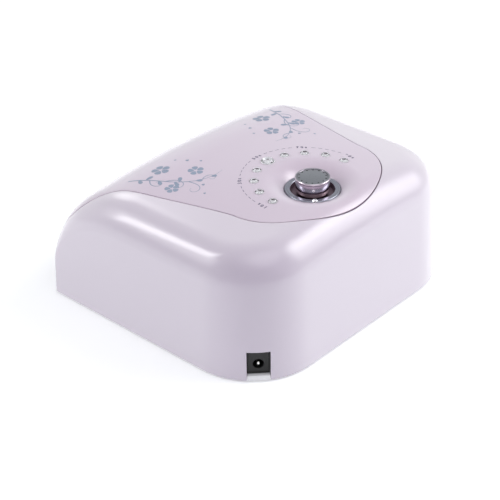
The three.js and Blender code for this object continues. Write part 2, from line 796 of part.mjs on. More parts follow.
// Knob: a turned cap with a bevelled rim, a sunk face and a keyed socket for the shaft
function knobBody() {
  const recessZ = knobTopZ - knobFaceThickness - slip;
  const cap = turned([
    [0, knobBottomZ],
    [knobRadius - knobBevel / 2, knobBottomZ],
    [knobRadius, knobBottomZ + knobBevel / 2],
    [knobRadius, knobTopZ - knobBevel],
    [knobRadius - bevelShare * knobBevel, knobTopZ - bevelShare * knobBevel],
    [knobRadius - knobBevel, knobTopZ],
    [knobFaceRadius, knobTopZ],
    [knobFaceRadius, recessZ],
    [0, recessZ],
  ], fineSegments);
  const counterTopZ = hubTopZ + knobTravel + seat;
  const counterbore = rod(0, 0, knobBottomZ - overrun, counterTopZ, ringHubRadius + running);
  const socket = keyedRod(knobBottomZ - overrun, shaftTopZ + knobTravel + seat, slip);
  return cutBy(solid(cap), solid(counterbore), socket);
}

// A round bar with one flat, as on the shaft and in the knob's socket
function keyedRod(z0, z1, grow) {
  const radius = shaftRadius + grow;
  const bar = solid(rod(0, 0, z0, z1, radius));
  const flat = block(-radius - overrun, radius + overrun, shaftFlat + grow, radius + overrun,
    z0 - overrun, z1 + overrun);
  return bar.subtract(solid(flat));
}

function shaftBody() {
  const bottomZ = switchTopZ - switchBase;
  const bar = keyedRod(webZ, shaftTopZ, 0);
  const journal = solid(rod(0, 0, bottomZ, webZ + ringWeb / 2, shaftRadius));
  const boreRadius = stemRadius + slip;
  const bore = solid(rod(0, 0, bottomZ - overrun, shaftTopZ + overrun, boreRadius, smallSegments));
  return joined(bar, journal).subtract(bore);
}

// Rotary switch under the panel: body, threaded bush and solder tags
const switchTopZ = pocketFloorZ - panelThickness - seat;
const switchFloorZ = switchTopZ - switchHeight + switchBase;

function switchBody() {
  const half = switchWidth / 2;
  const bottomZ = switchTopZ - switchHeight;
  const corner = switchWidth / 7;
  const plan = roundedRectangle(-half, half, -half, half, corner);
  const body = solid(prism(plan, bottomZ, switchTopZ, tinySteps));
  const bush = solid(rod(0, 0, switchTopZ - switchBase, bushTopZ, bushRadius));
  const journalZ = switchTopZ - switchBase - seat;
  const journal = solid(rod(0, 0, journalZ, bushTopZ + overrun, shaftRadius + slip));
  const stemBore = solid(rod(0, 0, switchFloorZ, switchTopZ, stemRadius + seat, smallSegments));
  const tags = [-1, 0, 1].map((k) => {
    const x = (k * switchWidth) / 4;
    const y = half - switchBase;
    return solid(block(x - switchTagWidth / 2, x + switchTagWidth / 2, y - switchTagThickness / 2,
      y + switchTagThickness / 2, bottomZ - switchTagLength, bottomZ + switchBase / 2));
  });
  return cutBy(joined(body, bush, ...tags), journal, stemBore);
}

function nut() {
  const hexRadius = nutAcrossFlats / 2 / Math.cos(Math.PI / 6);
  const hex = rod(0, 0, nutZ, nutZ + nutThickness, hexRadius, 6);
  const bore = rod(0, 0, nutZ - overrun, nutZ + nutThickness + overrun, bushRadius + slip);
  return shapeOf(cutBy(solid(hex), solid(bore)));
}

// Base plate: fits inside the rim, with a sill under the hand opening and a tab below the inlet
function footPlaces() {
  const x = halfWidth - footInset;
  const rearX = cornerX + (rearCornerRadius - footInset) * Math.SQRT1_2;
  const rearFootY = cornerY + (rearCornerRadius - footInset) * Math.SQRT1_2;
  return [[x, frontY + footInset], [-x, frontY + footInset], [rearX, rearFootY], [-rearX, rearFootY]];
}

function plateOutline() {
  const edge = wall + running;
  const [x, y0, y1, r] = [halfWidth - edge, frontY + edge, rearY - edge, rearCornerRadius - edge];
  const shape = new THREE.Shape();
  shape.moveTo(-x, y0);
  shape.lineTo(x, y0);
  shape.absarc(x - r, y1 - r, r, 0, Math.PI / 2);
  shape.absarc(-x + r, y1 - r, r, Math.PI / 2, Math.PI);
  return shape;
}

function basePlate() {
  const plate = solid(prism(plateOutline(), rimHeight, baseTopZ, plateSteps));
  const sillHalf = tunnelHalfWidth - running;
  const sillRearY = frontY + wall + overrun;
  const sill = solid(block(-sillHalf, sillHalf, frontY + slip, sillRearY, rimHeight, baseTopZ));
  const tabHalf = jackFaceWidth / 2;
  const tab = solid(block(rearCornerRadius - wall - overrun, rearCornerRadius - slip, -tabHalf, tabHalf,
    rimHeight, baseTopZ).applyMatrix4(jackFrame));
  const posts = boardCorners().map(([x, y]) => (
    solid(rod(x, y, rimHeight + baseThickness / 2, controlZ - seat, standoffRadius, smallSegments))));
  const footPits = footPlaces().map(([x, y]) => (
    solid(rod(x, y, rimHeight - overrun, rimHeight + footSink + seat, footRadius + slip))));
  const screwHoles = bossPlaces().flatMap(({ x, y }) => [
    solid(rod(x, y, rimHeight - overrun, baseTopZ + overrun, screwRadius + seat, smallSegments)),
    solid(rod(x, y, rimHeight - overrun, rimHeight + screwHeadHeight + slip, screwHeadRadius + seat)),
  ]);
  const postBores = boardCorners().map(([x, y]) => (
    solid(rod(x, y, baseTopZ, controlZ + overrun, screwRadius + slip, smallSegments))));
  return cutBy(joined(plate, sill, tab, ...posts), ...footPits, ...screwHoles, ...postBores);
}

function addBase() {
  add('base_plate', shapeOf(basePlate()), whitePlastic);
  const foot = turned([
    [0, 0],
    [footFaceShare * footRadius, 0],
    [footRadius, footEdgeShare * rimHeight],
    [footRadius, rimHeight + footSink],
    [0, rimHeight + footSink],
  ]);
  footPlaces().forEach(([x, y], i) => add(`foot_${i + 1}`, foot, rubber).position.set(x, y, 0));
  bossPlaces().forEach(({ x, y }, i) => {
    add(`base_screw_${i + 1}`, screw(screwLength), steel).position.set(x, y, rimHeight + slip / 2);
  });
}

// A pan-head screw standing on its head at z 0
function screw(length) {
  return turned([
    [0, 0],
    [screwFaceShare * screwHeadRadius, 0],
    [screwHeadRadius, screwEdgeShare * screwHeadHeight],
    [screwHeadRadius, screwHeadHeight],
    [screwRadius, screwHeadHeight],
    [screwRadius, length - screwRadius],
    [0, length],
  ], smallSegments);
}

// Reflector: the tunnel's lining, rounded at the rear, seated inside the front wall
function tunnelPlan(grow) {
  const half = tunnelHalfWidth + grow;
  const y0 = frontY - overrun - tunnelRearRadius;
  return roundedRectangle(-half, half, y0, tunnelRearY + grow, tunnelRearRadius + grow);
}

function tunnel(grow, bottomZ) {
  const bar = solid(arch(grow, frontY - overrun, tunnelRearY + overrun, bottomZ));
  const plan = solid(prism(tunnelPlan(grow), bottomZ - overrun, topHeight, archSteps));
  return bar.intersect(plan);
}

const roofHalfX = tunnelHalfWidth - roofBoardSideGap;
const roofFrontY = frontY + roofBoardFrontGap;
const roofRearY = tunnelRearY - roofBoardRearGap;
const sideFrontY = frontY + sideBoardFrontGap;
const sideRearY = tunnelRearY - sideBoardRearGap;
const sideMiddleY = (sideFrontY + sideRearY) / 2;
const sideLedSpacing = (sideRearY - sideFrontY) / 2 - boardMargin;
const sideLedZ = baseTopZ + sideLedShare * tunnelHeight;

function roofLedPlaces() {
  const spacing = roofHalfX - boardMargin;
  const rows = [roofFrontY + boardMargin, roofRearY - boardMargin];
  return [-1, 0, 1].flatMap((k) => rows.map((y) => [k * spacing, y]));
}

function reflector() {
  const outer = tunnel(reflectorWall, baseTopZ + seat);
  const lining = outer.subtract(tunnel(0, baseTopZ - overrun));
  const shell = lining.intersect(skin(wall + seat, rimHeight - overrun));
  const roofHoles = roofLedPlaces().map(([x, y]) => (
    solid(rod(x, y, roofZ - overrun, roofZ + overrun, ledRadius + seat, smallSegments))));
  const reach = tunnelHalfWidth + overrun;
  const sideHoles = [-1, 0, 1].map((k) => {
    const bar = rod(0, 0, -reach, reach, ledRadius + seat, smallSegments).rotateY(Math.PI / 2);
    return solid(bar.translate(0, sideMiddleY + k * sideLedSpacing, sideLedZ));
  });
  return cutBy(shell, ...roofHoles, ...sideHoles);
}

// A small lamp with its back at z 0 and its dome pointing down
function ledForm() {
  const dome = scaled(ledDomeShares, ledRadius, -ledTipShare * ledRadius);
  return turned([
    [0, 0],
    [ledRadius, 0],
    [ledRadius, -ledBarrel],
    ...dome.map(([r, z]) => [r, z - ledBarrel]),
  ], smallSegments);
}

function addLamps() {
  const led = ledForm();
  const boardZ = roofZ + reflectorWall + seat;
  const roofShape = roundedRectangle(-roofHalfX, roofHalfX, roofFrontY, roofRearY, reflectorWall);
  add('roof_board', tidy(prism(roofShape, boardZ, boardZ + boardThickness, tinySteps)), boardWhite);
  roofLedPlaces().forEach(([x, y], i) => {
    add(`lamp_${i + 1}`, led, lampLens).position.set(x, y, boardZ - slip / 2);
  });
  addSideLamps('right', 0, 7);
  addSideLamps('left', Math.PI, 10);
}

// A row of lamps on an upright board, on the side of the tunnel that the turn chooses
function addSideLamps(side, turn, firstLamp) {
  const holder = new THREE.Group();
  holder.rotation.z = turn;
  holder.position.y = sideMiddleY;
  group.add(holder);
  const x = tunnelHalfWidth + reflectorWall + seat;
  const [halfLength, halfHeight] = [(sideRearY - sideFrontY) / 2, sideBoardHeight / 2];
  const board = block(x, x + boardThickness, -halfLength, halfLength,
    sideLedZ - halfHeight, sideLedZ + halfHeight);
  add(`side_board_${side}`, board, boardWhite, holder);
  [-1, 0, 1].forEach((k, i) => {
    const lamp = add(`lamp_${firstLamp + i}`, ledForm(), lampLens, holder);
    lamp.rotation.y = Math.PI / 2;
    lamp.position.set(x - slip / 2, k * sideLedSpacing, sideLedZ);
  });
}

// Control board on the base plate's posts behind the tunnel
const controlZ = baseTopZ + controlHeight;
const controlRearY = rearY - wall - controlRearGap;
const controlFrontY = controlRearY - controlDepth;
const controlTopZ = controlZ + boardThickness;

function boardCorners() {
  const x = controlWidth / 2 - boardScrewInset;
  return [
    [x, controlRearY - boardScrewInset],
    [-x, controlFrontY + boardScrewInset],
    [-x, controlRearY - boardScrewInset],
    [x, controlFrontY + boardScrewInset],
  ];
}

function addControl() {
  const half = controlWidth / 2;
  const outline = roundedRectangle(-half, half, controlFrontY, controlRearY, boardThickness);
  const holes = boardCorners().map(([x, y]) => (
    solid(rod(x, y, controlZ - overrun, controlTopZ + overrun, screwRadius + slip, smallSegments))));
  const board = cutBy(solid(prism(outline, controlZ, controlTopZ, tinySteps)), ...holes);
  add('control_board', shapeOf(board), boardGreen);
  boardCorners().slice(0, 2).forEach(([x, y], i) => {
    const fastener = add(`board_screw_${i + 1}`, screw(controlHeight - seat), steel);
    fastener.rotation.x = Math.PI;
    fastener.position.set(x, y, controlTopZ + seat + screwHeadHeight);
  });
  const standZ = controlTopZ + seat;
  const capacitor = turned(scaled(capacitorShares, capacitorRadius, capacitorHeight));
  add('capacitor', capacitor, blackPlastic)
    .position.set(capacitorPlaceShare * controlWidth, controlMidY, standZ);
  add('controller_chip', chip(), blackPlastic).position.set(0, controlMidY, standZ);
  add('choke_coil', turned(scaled(coilShares, coilRadius, coilHeight)), redCopper)
    .position.set(-coilPlaceShare * controlWidth, controlMidY, standZ);
  const header = add('lamp_connector', shapeOf(connector()), boardWhite);
  header.position.set(-connectorPlaceShare * controlWidth, controlMidY, standZ);
}

const controlMidY = (controlFrontY + controlRearY) / 2;

// Chip body with a row of legs on each side
function chip() {
  const [halfX, halfY] = [chipLength / 2, chipWidth / 2];
  const body = solid(block(-halfX, halfX, -halfY, halfY, chipStandShare * chipHeight, chipHeight));
  const legs = chipPitchShares.map((share) => {
    const x = share * chipLength;
    return solid(block(x - chipLegWidth / 2, x + chipLegWidth / 2, -halfY - chipLegReach,
      halfY + chipLegReach, 0, chipLegShare * chipHeight));
  });
  return shapeOf(joined(body, ...legs));
}

// Open-topped header for the lead to the lamps
function connector() {
  const [halfX, halfY] = [plugDepth / 2, plugWidth / 2];
  const body = solid(block(-halfX, halfX, -halfY, halfY, 0, plugHeight));
  const well = solid(block(-halfX + plugWall, halfX - plugWall, -halfY + plugWall, halfY - plugWall,
    plugWall, plugHeight + overrun));
  return body.subtract(well);
}

// Power inlet: a square black face with a round socket and its centre pin
function addJack() {
  const z0 = baseTopZ + seat;
  const half = jackFaceWidth / 2;
  const bodyX = jackFaceX - jackFaceThickness;
  const face = solid(block(bodyX, jackFaceX, -half, half, z0, z0 + jackFaceHeight));
  const bodyHalf = jackBodyWidth / 2;
  const body = solid(block(bodyX - jackBodyLength, bodyX + jackFaceThickness / 2,
    -bodyHalf, bodyHalf, z0, z0 + jackBodyHeight));
  const hole = rod(0, 0, jackFaceX - jackHoleDepth, jackFaceX + overrun, jackHoleRadius)
    .rotateY(Math.PI / 2).translate(0, 0, jackHoleZ);
  const inlet = new THREE.Group();
  inlet.applyMatrix4(jackFrame);
  group.add(inlet);
  add('dc_jack', shapeOf(cutBy(joined(face, body), solid(hole))), blackPlastic, inlet);
  const pinLength = jackHoleDepth - jackPinSetback - seat;
  const pin = turned([
    [0, 0],
    [jackPinRadius, 0],
    [jackPinRadius, pinLength - jackPinRadius / 2],
    [jackPinRadius / 2, pinLength],
    [0, pinLength],
  ], smallSegments);
  const tip = add('dc_jack_pin', pin, steel, inlet);
  tip.rotation.y = Math.PI / 2;
  tip.position.set(jackFaceX - jackHoleDepth + seat, 0, jackHoleZ);
}

// A lead as a round tube along a smooth curve through a few chosen points
function lead(name, points, steps, look) {
  const path = new THREE.CatmullRomCurve3(points.map((p) => new THREE.Vector3(...p)));
  const section = new THREE.Shape().absarc(0, 0, leadRadius, 0, 2 * Math.PI);
  const options = { steps, bevelEnabled: false, extrudePath: path, curveSegments: tinySteps };
  add(name, tidy(new THREE.ExtrudeGeometry(section, options)), look);
}

function addLeads() {
  addPowerLead();
  addRoofLead();
  addSwitchLead();
  addSideLead('right', 1);
  addSideLead('left', -1);
}

// From the back of the inlet to the right edge of the control board
function addPowerLead() {
  const rearX = jackFaceX - jackFaceThickness - jackBodyLength - seat;
  const start = new THREE.Vector3(rearX, 0, jackHoleZ).applyMatrix4(jackFrame);
  const turn = new THREE.Vector3(rearX - leadBend, 0, jackHoleZ).applyMatrix4(jackFrame);
  const endX = controlWidth / 2 + seat;
  const endY = controlMidY + leadPlaceShare * controlDepth;
  const endZ = controlZ + boardThickness / 2;
  lead('power_lead', [
    start.toArray(),
    turn.toArray(),
    [endX + leadBend, endY, endZ],
    [endX, endY, endZ],
  ], 9, leadRed);
}

// From the header on the control board up over the reflector to the roof board
function addRoofLead() {
  const x = -connectorPlaceShare * controlWidth;
  const startZ = controlTopZ + 2 * seat + plugWall;
  const endY = roofRearY - leadBend;
  const endZ = roofZ + reflectorWall + boardThickness + 2 * seat;
  lead('lamp_lead_roof', [
    [x, controlMidY, startZ],
    [x, controlMidY, endZ - leadBend],
    [x, controlMidY - leadBend, endZ + leadBend],
    [x, endY + leadBend, endZ + leadBend],
    [x, endY, endZ + leadBend / 2],
    [x, endY, endZ],
  ], 18, leadWhite);
}

// From the middle tag of the rotary switch down to the control board
function addSwitchLead() {
  const tagY = knobY + switchWidth / 2 - switchBase;
  const tagZ = switchTopZ - switchHeight - switchTagLength - seat;
  const endY = controlRearY - leadPlaceShare * controlDepth;
  lead('switch_lead', [
    [0, tagY, tagZ],
    [0, tagY, tagZ - leadBend],
    [0, endY, controlTopZ + 2 * leadBend],
    [0, endY, controlTopZ + seat],
  ], 12, leadWhite);
}

// From the rear end of a side board round the reflector's corner to the control board
function addSideLead(side, sign) {
  const x = tunnelHalfWidth + reflectorWall + seat + boardThickness / 2;
  const startY = sideRearY + seat;
  const endX = controlWidth / 2 + seat;
  const endY = controlFrontY + leadPlaceShare * controlDepth;
  const endZ = controlZ + boardThickness / 2;
  const points = [
    [x, startY, sideLedZ],
    [x, startY + leadBend, sideLedZ],
    [x - tunnelRearRadius / 2, tunnelRearY + leadBend, endZ],
    [endX + leadBend, endY, endZ],
    [endX, endY, endZ],
  ];
  lead(`lamp_lead_${side}`, points.map(([a, b, c]) => [sign * a, b, c]), 14, leadWhite);
}

add('main_housing', shapeOf(housing()), pearl);
add('top_panel', shapeOf(topPanel()), panelPearl);
addStones();
addSelector();
addBase();
add('reflector', shapeOf(reflector()), mirrorWhite);
addLamps();
addControl();
addJack();
addLeads();

export default group;
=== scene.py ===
import math

import bmesh
import bpy
from mathutils import Matrix, Vector, geometry


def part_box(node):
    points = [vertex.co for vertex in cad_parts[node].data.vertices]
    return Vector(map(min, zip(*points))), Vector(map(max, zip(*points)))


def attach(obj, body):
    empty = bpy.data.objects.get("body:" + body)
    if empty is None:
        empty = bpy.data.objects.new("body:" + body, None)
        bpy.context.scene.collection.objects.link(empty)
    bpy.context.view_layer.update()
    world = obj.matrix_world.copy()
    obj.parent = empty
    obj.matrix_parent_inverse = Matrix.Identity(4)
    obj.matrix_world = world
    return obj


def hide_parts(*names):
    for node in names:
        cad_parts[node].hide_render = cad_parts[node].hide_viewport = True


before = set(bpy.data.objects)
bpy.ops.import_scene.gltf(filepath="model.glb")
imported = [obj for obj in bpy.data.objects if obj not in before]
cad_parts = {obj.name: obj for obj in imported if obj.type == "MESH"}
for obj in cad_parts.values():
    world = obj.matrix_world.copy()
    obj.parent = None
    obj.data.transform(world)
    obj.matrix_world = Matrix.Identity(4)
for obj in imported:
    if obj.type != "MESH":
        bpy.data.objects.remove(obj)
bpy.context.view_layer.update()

# Main housing: one glossy shell of pearlescent lilac plastic, injection moulded 2.6 mm thick.
# Its walls have a small draft, the edge round the top is fully rounded, and a step inside the
# top opening carries the panel. The front is open for the hand, a rear corner for the inlet.
shell_low, shell_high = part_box("main_housing")
half_width = shell_high.x
front_y = shell_low.y
rear_y = shell_high.y
rim_z = shell_low.z
top_height = 0.078
shell_wall = 0.0026
curve_depth = 0.056
curve_height = 0.041
corner_radius = 0.043
edge_radius = 0.022
draft_angle = math.radians(3)
cross_crown = 0.0042
length_crown = 0.001
seam_gap = 0.0003
seam_round = 0.0004
panel_thickness = 0.002
ledge_width = 0.005
probe = 0.00002

draft = math.tan(draft_angle)
curve_end_y = front_y + curve_depth
curve_base_z = top_height - curve_height
corner_x = half_width - corner_radius
corner_y = rear_y - corner_radius
crown_slope = math.atan(2 * cross_crown / (half_width - edge_radius))
edge_run = (draft * (top_height - edge_radius - rim_z)
            + edge_radius * (1 / math.cos(draft_angle) - math.sin(crown_slope)))
crown_half_width = half_width - edge_run
crown_middle_y = (curve_end_y + rear_y - edge_run) / 2
crown_half_length = (rear_y - edge_run - curve_end_y) / 2


def mix(a, b, share):
    return a + (b - a) * share


def clamp(value, low=0, high=1):
    return min(high, max(low, value))


def toward(angle):
    """The way along an angle, in radians, as a point of the plane."""
    return Vector((math.cos(angle), math.sin(angle)))


def arc(x, y, radius, start, end, steps):
    """Points along a circle, from one angle in degrees to another."""
    points = []
    for k in range(steps + 1):
        angle = math.radians(mix(start, end, k / steps))
        points.append(Vector((x + radius * math.cos(angle), y + radius * math.sin(angle))))
    return points


def crown_height(y):
    """How far the middle of the top rises above the top's edges."""
    along = clamp((y - crown_middle_y) / crown_half_length, -1)
    return cross_crown + length_crown * (1 - along * along) ** 2


def top_z(x, y):
    """Height of the top: the elliptical front curve, the flat top and the crown over both."""
    reach = clamp((curve_end_y - y) / curve_depth)
    lift = curve_base_z + curve_height * math.sqrt(1 - reach * reach)
    return lift + crown_height(y) * (1 - (x / crown_half_width) ** 2)


def rounded_edge(rim, out):
    """The rounded edge in the upright plane through a rim point: the run at which it ends, and
    its centre as a run inwards from the rim and a height. It meets wall and top without a step."""
    end_run = edge_run
    for _ in range(4):
        end = rim - out * end_run
        inner = end - out * probe
        outer = end + out * probe
        slope = math.atan((top_z(inner.x, inner.y) - top_z(outer.x, outer.y)) / (2 * probe))
        centre_z = top_z(end.x, end.y) - edge_radius * math.cos(slope)
        centre_run = draft * (centre_z - rim_z) + edge_radius / math.cos(draft_angle)
        end_run = centre_run - edge_radius * math.sin(slope)
    return end_run, centre_run, centre_z


def rim_beside(x, y):
    """The rim point nearest to a point of the plan, and the way out of the housing there."""
    if y <= corner_y:
        return Vector((half_width, y)), Vector((1, 0))
    if x <= corner_x:
        return Vector((x, rear_y)), Vector((0, 1))
    out = Vector((x - corner_x, y - corner_y)).normalized()
    return Vector((corner_x, corner_y)) + out * corner_radius, out


def surface_z(x, y):
    """Height of the housing's outer surface over any point of the plan."""
    side = abs(x)
    rim, out = rim_beside(side, y)
    run = (rim - Vector((side, y))).dot(out)
    end_run, centre_run, centre_z = rounded_edge(rim, out)
    if run >= end_run:
        return top_z(side, y)
    across = min(1, (centre_run - run) / edge_radius)
    return centre_z + edge_radius * math.sqrt(1 - across * across)


def below(surface, x, y, depth):
    """The point at a depth under a surface, measured square to it."""
    slope_x = (surface(x + probe, y) - surface(x - probe, y)) / (2 * probe)
    slope_y = (surface(x, y + probe) - surface(x, y - probe)) / (2 * probe)
    normal = Vector((-slope_x, -slope_y, 1)).normalized()
    return Vector((x, y, surface(x, y))) - normal * depth


def draped(surface, start, end, steps, gathering=1):
    """The way between two points of the plan, laid on a surface. Gathering above 1 packs its points
    near the start."""
    way = []
    for k in range(steps + 1):
        plan = start.lerp(end, (k / steps) ** gathering)
        way.append(Vector((plan.x, plan.y, surface(plan.x, plan.y))))
    return way


def evenly(points, steps):
    """Points at even distances along a line through many points."""
    lengths = [0]
    for a, b in zip(points, points[1:]):
        lengths.append(lengths[-1] + (b - a).length)
    spaced = []
    i = 0
    for k in range(steps + 1):
        wanted = lengths[-1] * k / steps
        while i < len(points) - 2 and lengths[i + 1] < wanted:
            i += 1
        span = lengths[i + 1] - lengths[i]
        spaced.append(points[i].lerp(points[i + 1], clamp((wanted - lengths[i]) / span)))
    return spaced


# Plan of the top opening: the rear is half an ellipse, the flanks run out to the front corners
waist = Vector((half_width - 0.0395, rear_y - 0.053))
shoulder = Vector((half_width - 0.024, front_y + 0.045))
front_corner = Vector((half_width - 0.0075, front_y + 0.005))
rear_margin = 0.011
rear_reach = rear_y - rear_margin - waist.y


def half_outline(rear_steps, side_steps, front_steps):
    """Right half of the panel's outline, from the rear middle to the front corner. The handles of
    its two curves are shares of the stretch that each curve spans."""
    flank = shoulder.x - waist.x
    flare = front_corner.x - shoulder.x
    side_length = waist.y - shoulder.y
    front_length = shoulder.y - front_corner.y
    rear = []
    for k in range(rear_steps):
        angle = math.pi / 2 * (1 - k / rear_steps)
        rear.append(Vector((waist.x * math.cos(angle), waist.y + rear_reach * math.sin(angle))))
    side = geometry.interpolate_bezier(
        waist,
        waist + Vector((0.13 * flank, -0.2 * side_length)),
        shoulder + Vector((-0.2 * flank, 0.26 * side_length)),
        shoulder, side_steps + 1)
    front = geometry.interpolate_bezier(
        shoulder,
        shoulder + Vector((0.12 * flare, -0.28 * front_length)),
        front_corner + Vector((-0.06 * flare, 0.45 * front_length)),
        front_corner, front_steps + 1)
    return rear + side[:-1] + front


def full_outline(right_half, lip_steps):
    """The whole clockwise outline, with the front lip between the two halves."""
    middle = Vector((0, right_half[-1].y))
    lip = [right_half[-1].lerp(middle, k / lip_steps) for k in range(1, lip_steps + 1)]
    half = right_half + lip
    return half + [Vector((-p.x, p.y)) for p in reversed(half[1:-1])]


def grown(loop, amount):
    """A clockwise loop moved outwards, with mitred corners."""
    moved = []
    for before, point, after in zip([loop[-1]] + loop[:-1], loop, loop[1:] + [loop[0]]):
        first = Vector((before.y - point.y, point.x - before.x)).normalized()
        second = Vector((point.y - after.y, after.x - point.x)).normalized()
        moved.append(point + (first + second) * (amount / (1 + first.dot(second))))
    return moved


def shaped_grid(columns, rows, place):
    """A grid of points moved to where place(column, row) says."""
    bm = bmesh.new()
    bmesh.ops.create_grid(bm, x_segments=columns - 1, y_segments=rows - 1, size=1)
    bm.verts.ensure_lookup_table()
    for i, vert in enumerate(bm.verts):
        vert.co = place(i % columns, i // columns)
    return bm


def close_up(bm, outward=None):
    """Merges doubled points and turns all faces outwards. An open sheet faces outward's way."""
    bmesh.ops.remove_doubles(bm, verts=bm.verts, dist=2e-6)
    bmesh.ops.dissolve_degenerate(bm, edges=bm.edges, dist=1e-7)
    bmesh.ops.recalc_face_normals(bm, faces=bm.faces)
    if outward and sum(f.normal.dot(outward) * f.calc_area() for f in bm.faces) < 0:
        bmesh.ops.reverse_faces(bm, faces=bm.faces)


def new_piece(name, bm, *finishes):
    """A named piece from a mesh in the making, with its materials."""
    mesh = bpy.data.meshes.new(name)
    bm.to_mesh(mesh)
    bm.free()
    for finish in finishes:
        mesh.materials.append(finish)
    piece = bpy.data.objects.new(name, mesh)
    bpy.context.scene.collection.objects.link(piece)
    return piece


def settle(piece):
    """Applies the piece's modifiers to its mesh."""
    bpy.context.view_layer.update()
    graph = bpy.context.evaluated_depsgraph_get()
    finished = bpy.data.meshes.new_from_object(piece.evaluated_get(graph))
    piece.modifiers.clear()
    piece.data = finished


def thicken(piece, thickness):
    """Gives an open sheet its wall, on the inner side."""
    solidify = piece.modifiers.new("wall", "SOLIDIFY")
    solidify.thickness = thickness
    solidify.offset = -1


def carve(piece, cutter, operation="DIFFERENCE"):
    """Cuts, joins or intersects a piece with a second form, which is used up."""
    boolean = piece.modifiers.new("cut", "BOOLEAN")
    boolean.operation = operation
    boolean.solver = "MANIFOLD"
    boolean.object = cutter
    settle(piece)
    bpy.data.objects.remove(cutter)


def smooth(piece, degrees=32):
    """Smooth shading with the edges sharper than an angle kept crisp."""
    piece.data.polygons.foreach_set("use_smooth", [True] * len(piece.data.polygons))
    piece.data.set_sharp_from_angle(angle=math.radians(degrees))


# How finely the skin is divided along the rim and up the wall and the top
front_columns = 26
curve_columns = 28
side_columns = 22
corner_columns = 22
rear_columns = 16
wall_rows = 8
top_rows = 44
corner_snap = 0.0006
front_edge_round = 0.0012
section_steps = 400
way_steps = 160

# The opening's edge as loops of the plan: where its rounding starts, round to the step's wall,
# down to the ledge and over the ledge, each with its depth under the surface
step_depth = panel_thickness + seam_gap
edge_profile = arc(0, seam_round, seam_round, -90, 0, 3)
edge_profile += [(seam_round, step_depth), (seam_round + ledge_width, step_depth)]
outline_half = half_outline(60, 40, 40)
outline = full_outline(outline_half, 40)
opening_loops = [grown(outline, seam_gap + seam_round - inset) for inset, _ in edge_profile]
corner_index = len(outline_half) - 1
opening_corner = opening_loops[0][corner_index]


def meets_opening(rim, out):
    """The stretch of the opening that the way straight in from a rim point meets, and the share
    of that stretch."""
    inside = rim - out * half_width
    for i in range(corner_index):
        a, b = opening_loops[0][i:i + 2]
        hit = geometry.intersect_line_line_2d(rim, inside, a, b)
        if hit and (hit - opening_corner).length > corner_snap:
            return i, (hit - a).length / (b - a).length
        if hit:
            return corner_index, 0
    return (corner_index, 0) if rim.y < 0 else (0, 0)


def on_lip(x):
    """The stretch of the opening's front lip over an x, and the share of that stretch."""
    if x > opening_corner.x - corner_snap:
        return corner_index, 0
    i = corner_index
    while opening_loops[0][i + 1].x > x:
        i += 1
    a, b = opening_loops[0][i:i + 2]
    return i, (a.x - x) / (a.x - b.x)


def edge_plan(loop, place):
    """The point of a loop at a place that is given as a stretch and its share."""
    i, share = place
    return loop[i].lerp(loop[i + 1], share)


def wall_top(rim, out):
    """The point at which a drafted wall turns into the rounded edge."""
    _, centre_run, centre_z = rounded_edge(rim, out)
    plan = rim - out * (centre_run - edge_radius * math.cos(draft_angle))
    return Vector((plan.x, plan.y, centre_z + edge_radius * math.sin(draft_angle)))


def skin_column(foot, shoulder_point, place):
    """One column of the housing's skin: up the wall, over the edge, and down into the step."""
    wall_part = [foot.lerp(shoulder_point, k / wall_rows) for k in range(wall_rows)]
    way = draped(surface_z, shoulder_point.xy, edge_plan(opening_loops[0], place), way_steps, 2)
    column = wall_part + evenly([shoulder_point] + way[1:], top_rows)
    for loop, (_, depth) in zip(opening_loops[1:], edge_profile[1:]):
        plan = edge_plan(loop, place)
        column.append(below(surface_z, plan.x, plan.y, depth))
    return column


# The front face: straight up to the section of the rounded edge, which is steepest there
skin = []
front_top_x = wall_top(Vector((half_width, front_y)), Vector((1, 0))).x - front_edge_round
front_section = []
for k in range(section_steps + 1):
    x = front_top_x * math.sin(math.pi / 2 * k / section_steps)
    front_section.append(Vector((x, front_y, surface_z(x, front_y))))
for k, shoulder_point in enumerate(evenly(front_section, front_columns)):
    foot = Vector(((half_width - front_edge_round) * k / front_columns, front_y, rim_z))
    skin.append(skin_column(foot, shoulder_point, on_lip(shoulder_point.x)))

# The upright edge between front and side, softly rounded
for degrees in (-67.5, -45, -22.5):
    out = toward(math.radians(degrees))
    y = front_y + front_edge_round * (1 + out.y)
    foot = Vector((half_width - front_edge_round * (1 - out.x), y, rim_z))
    z = front_section[-1].z
    for _ in range(6):
        x = foot.x - draft * (z - rim_z)
        z = surface_z(x, y)
    skin.append(skin_column(foot, Vector((x, y, z)), (corner_index, 0)))

# The rest of the rim, from the front round the corner to the rear middle
side_places = [front_y + front_edge_round]
for k in range(curve_columns):
    y = curve_end_y - curve_depth * math.cos(math.pi / 2 * k / curve_columns)
    if y > side_places[0] + front_edge_round / 4:
        side_places.append(y)
side_places += [mix(curve_end_y, corner_y, k / side_columns) for k in range(side_columns)]
stations = [(Vector((half_width, y)), Vector((1, 0))) for y in side_places]
for k in range(corner_columns):
    out = toward(math.pi / 2 * k / corner_columns)
    stations.append((Vector((corner_x, corner_y)) + out * corner_radius, out))
for k in range(rear_columns + 1):
    stations.append((Vector((corner_x * (1 - k / rear_columns), rear_y)), Vector((0, 1))))
for rim, out in stations:
    foot = Vector((rim.x, rim.y, rim_z))
    skin.append(skin_column(foot, wall_top(rim, out), meets_opening(rim, out)))

bm = shaped_grid(len(skin), len(skin[0]), lambda column, row: skin[column][row])
# The last three rows, the step's wall and ledge in the seam, take the second material: painted shade in the
# seam's gap
for i, face in enumerate(bm.faces):
    if i // (len(skin) - 1) >= len(skin[0]) - 3:
        face.material_index = 1
bmesh.ops.mirror(bm, geom=bm.verts[:] + bm.edges[:] + bm.faces[:], matrix=Matrix.Identity(4),
                 merge_dist=2e-6, axis="X")
close_up(bm, Vector((0, 0, 1)))


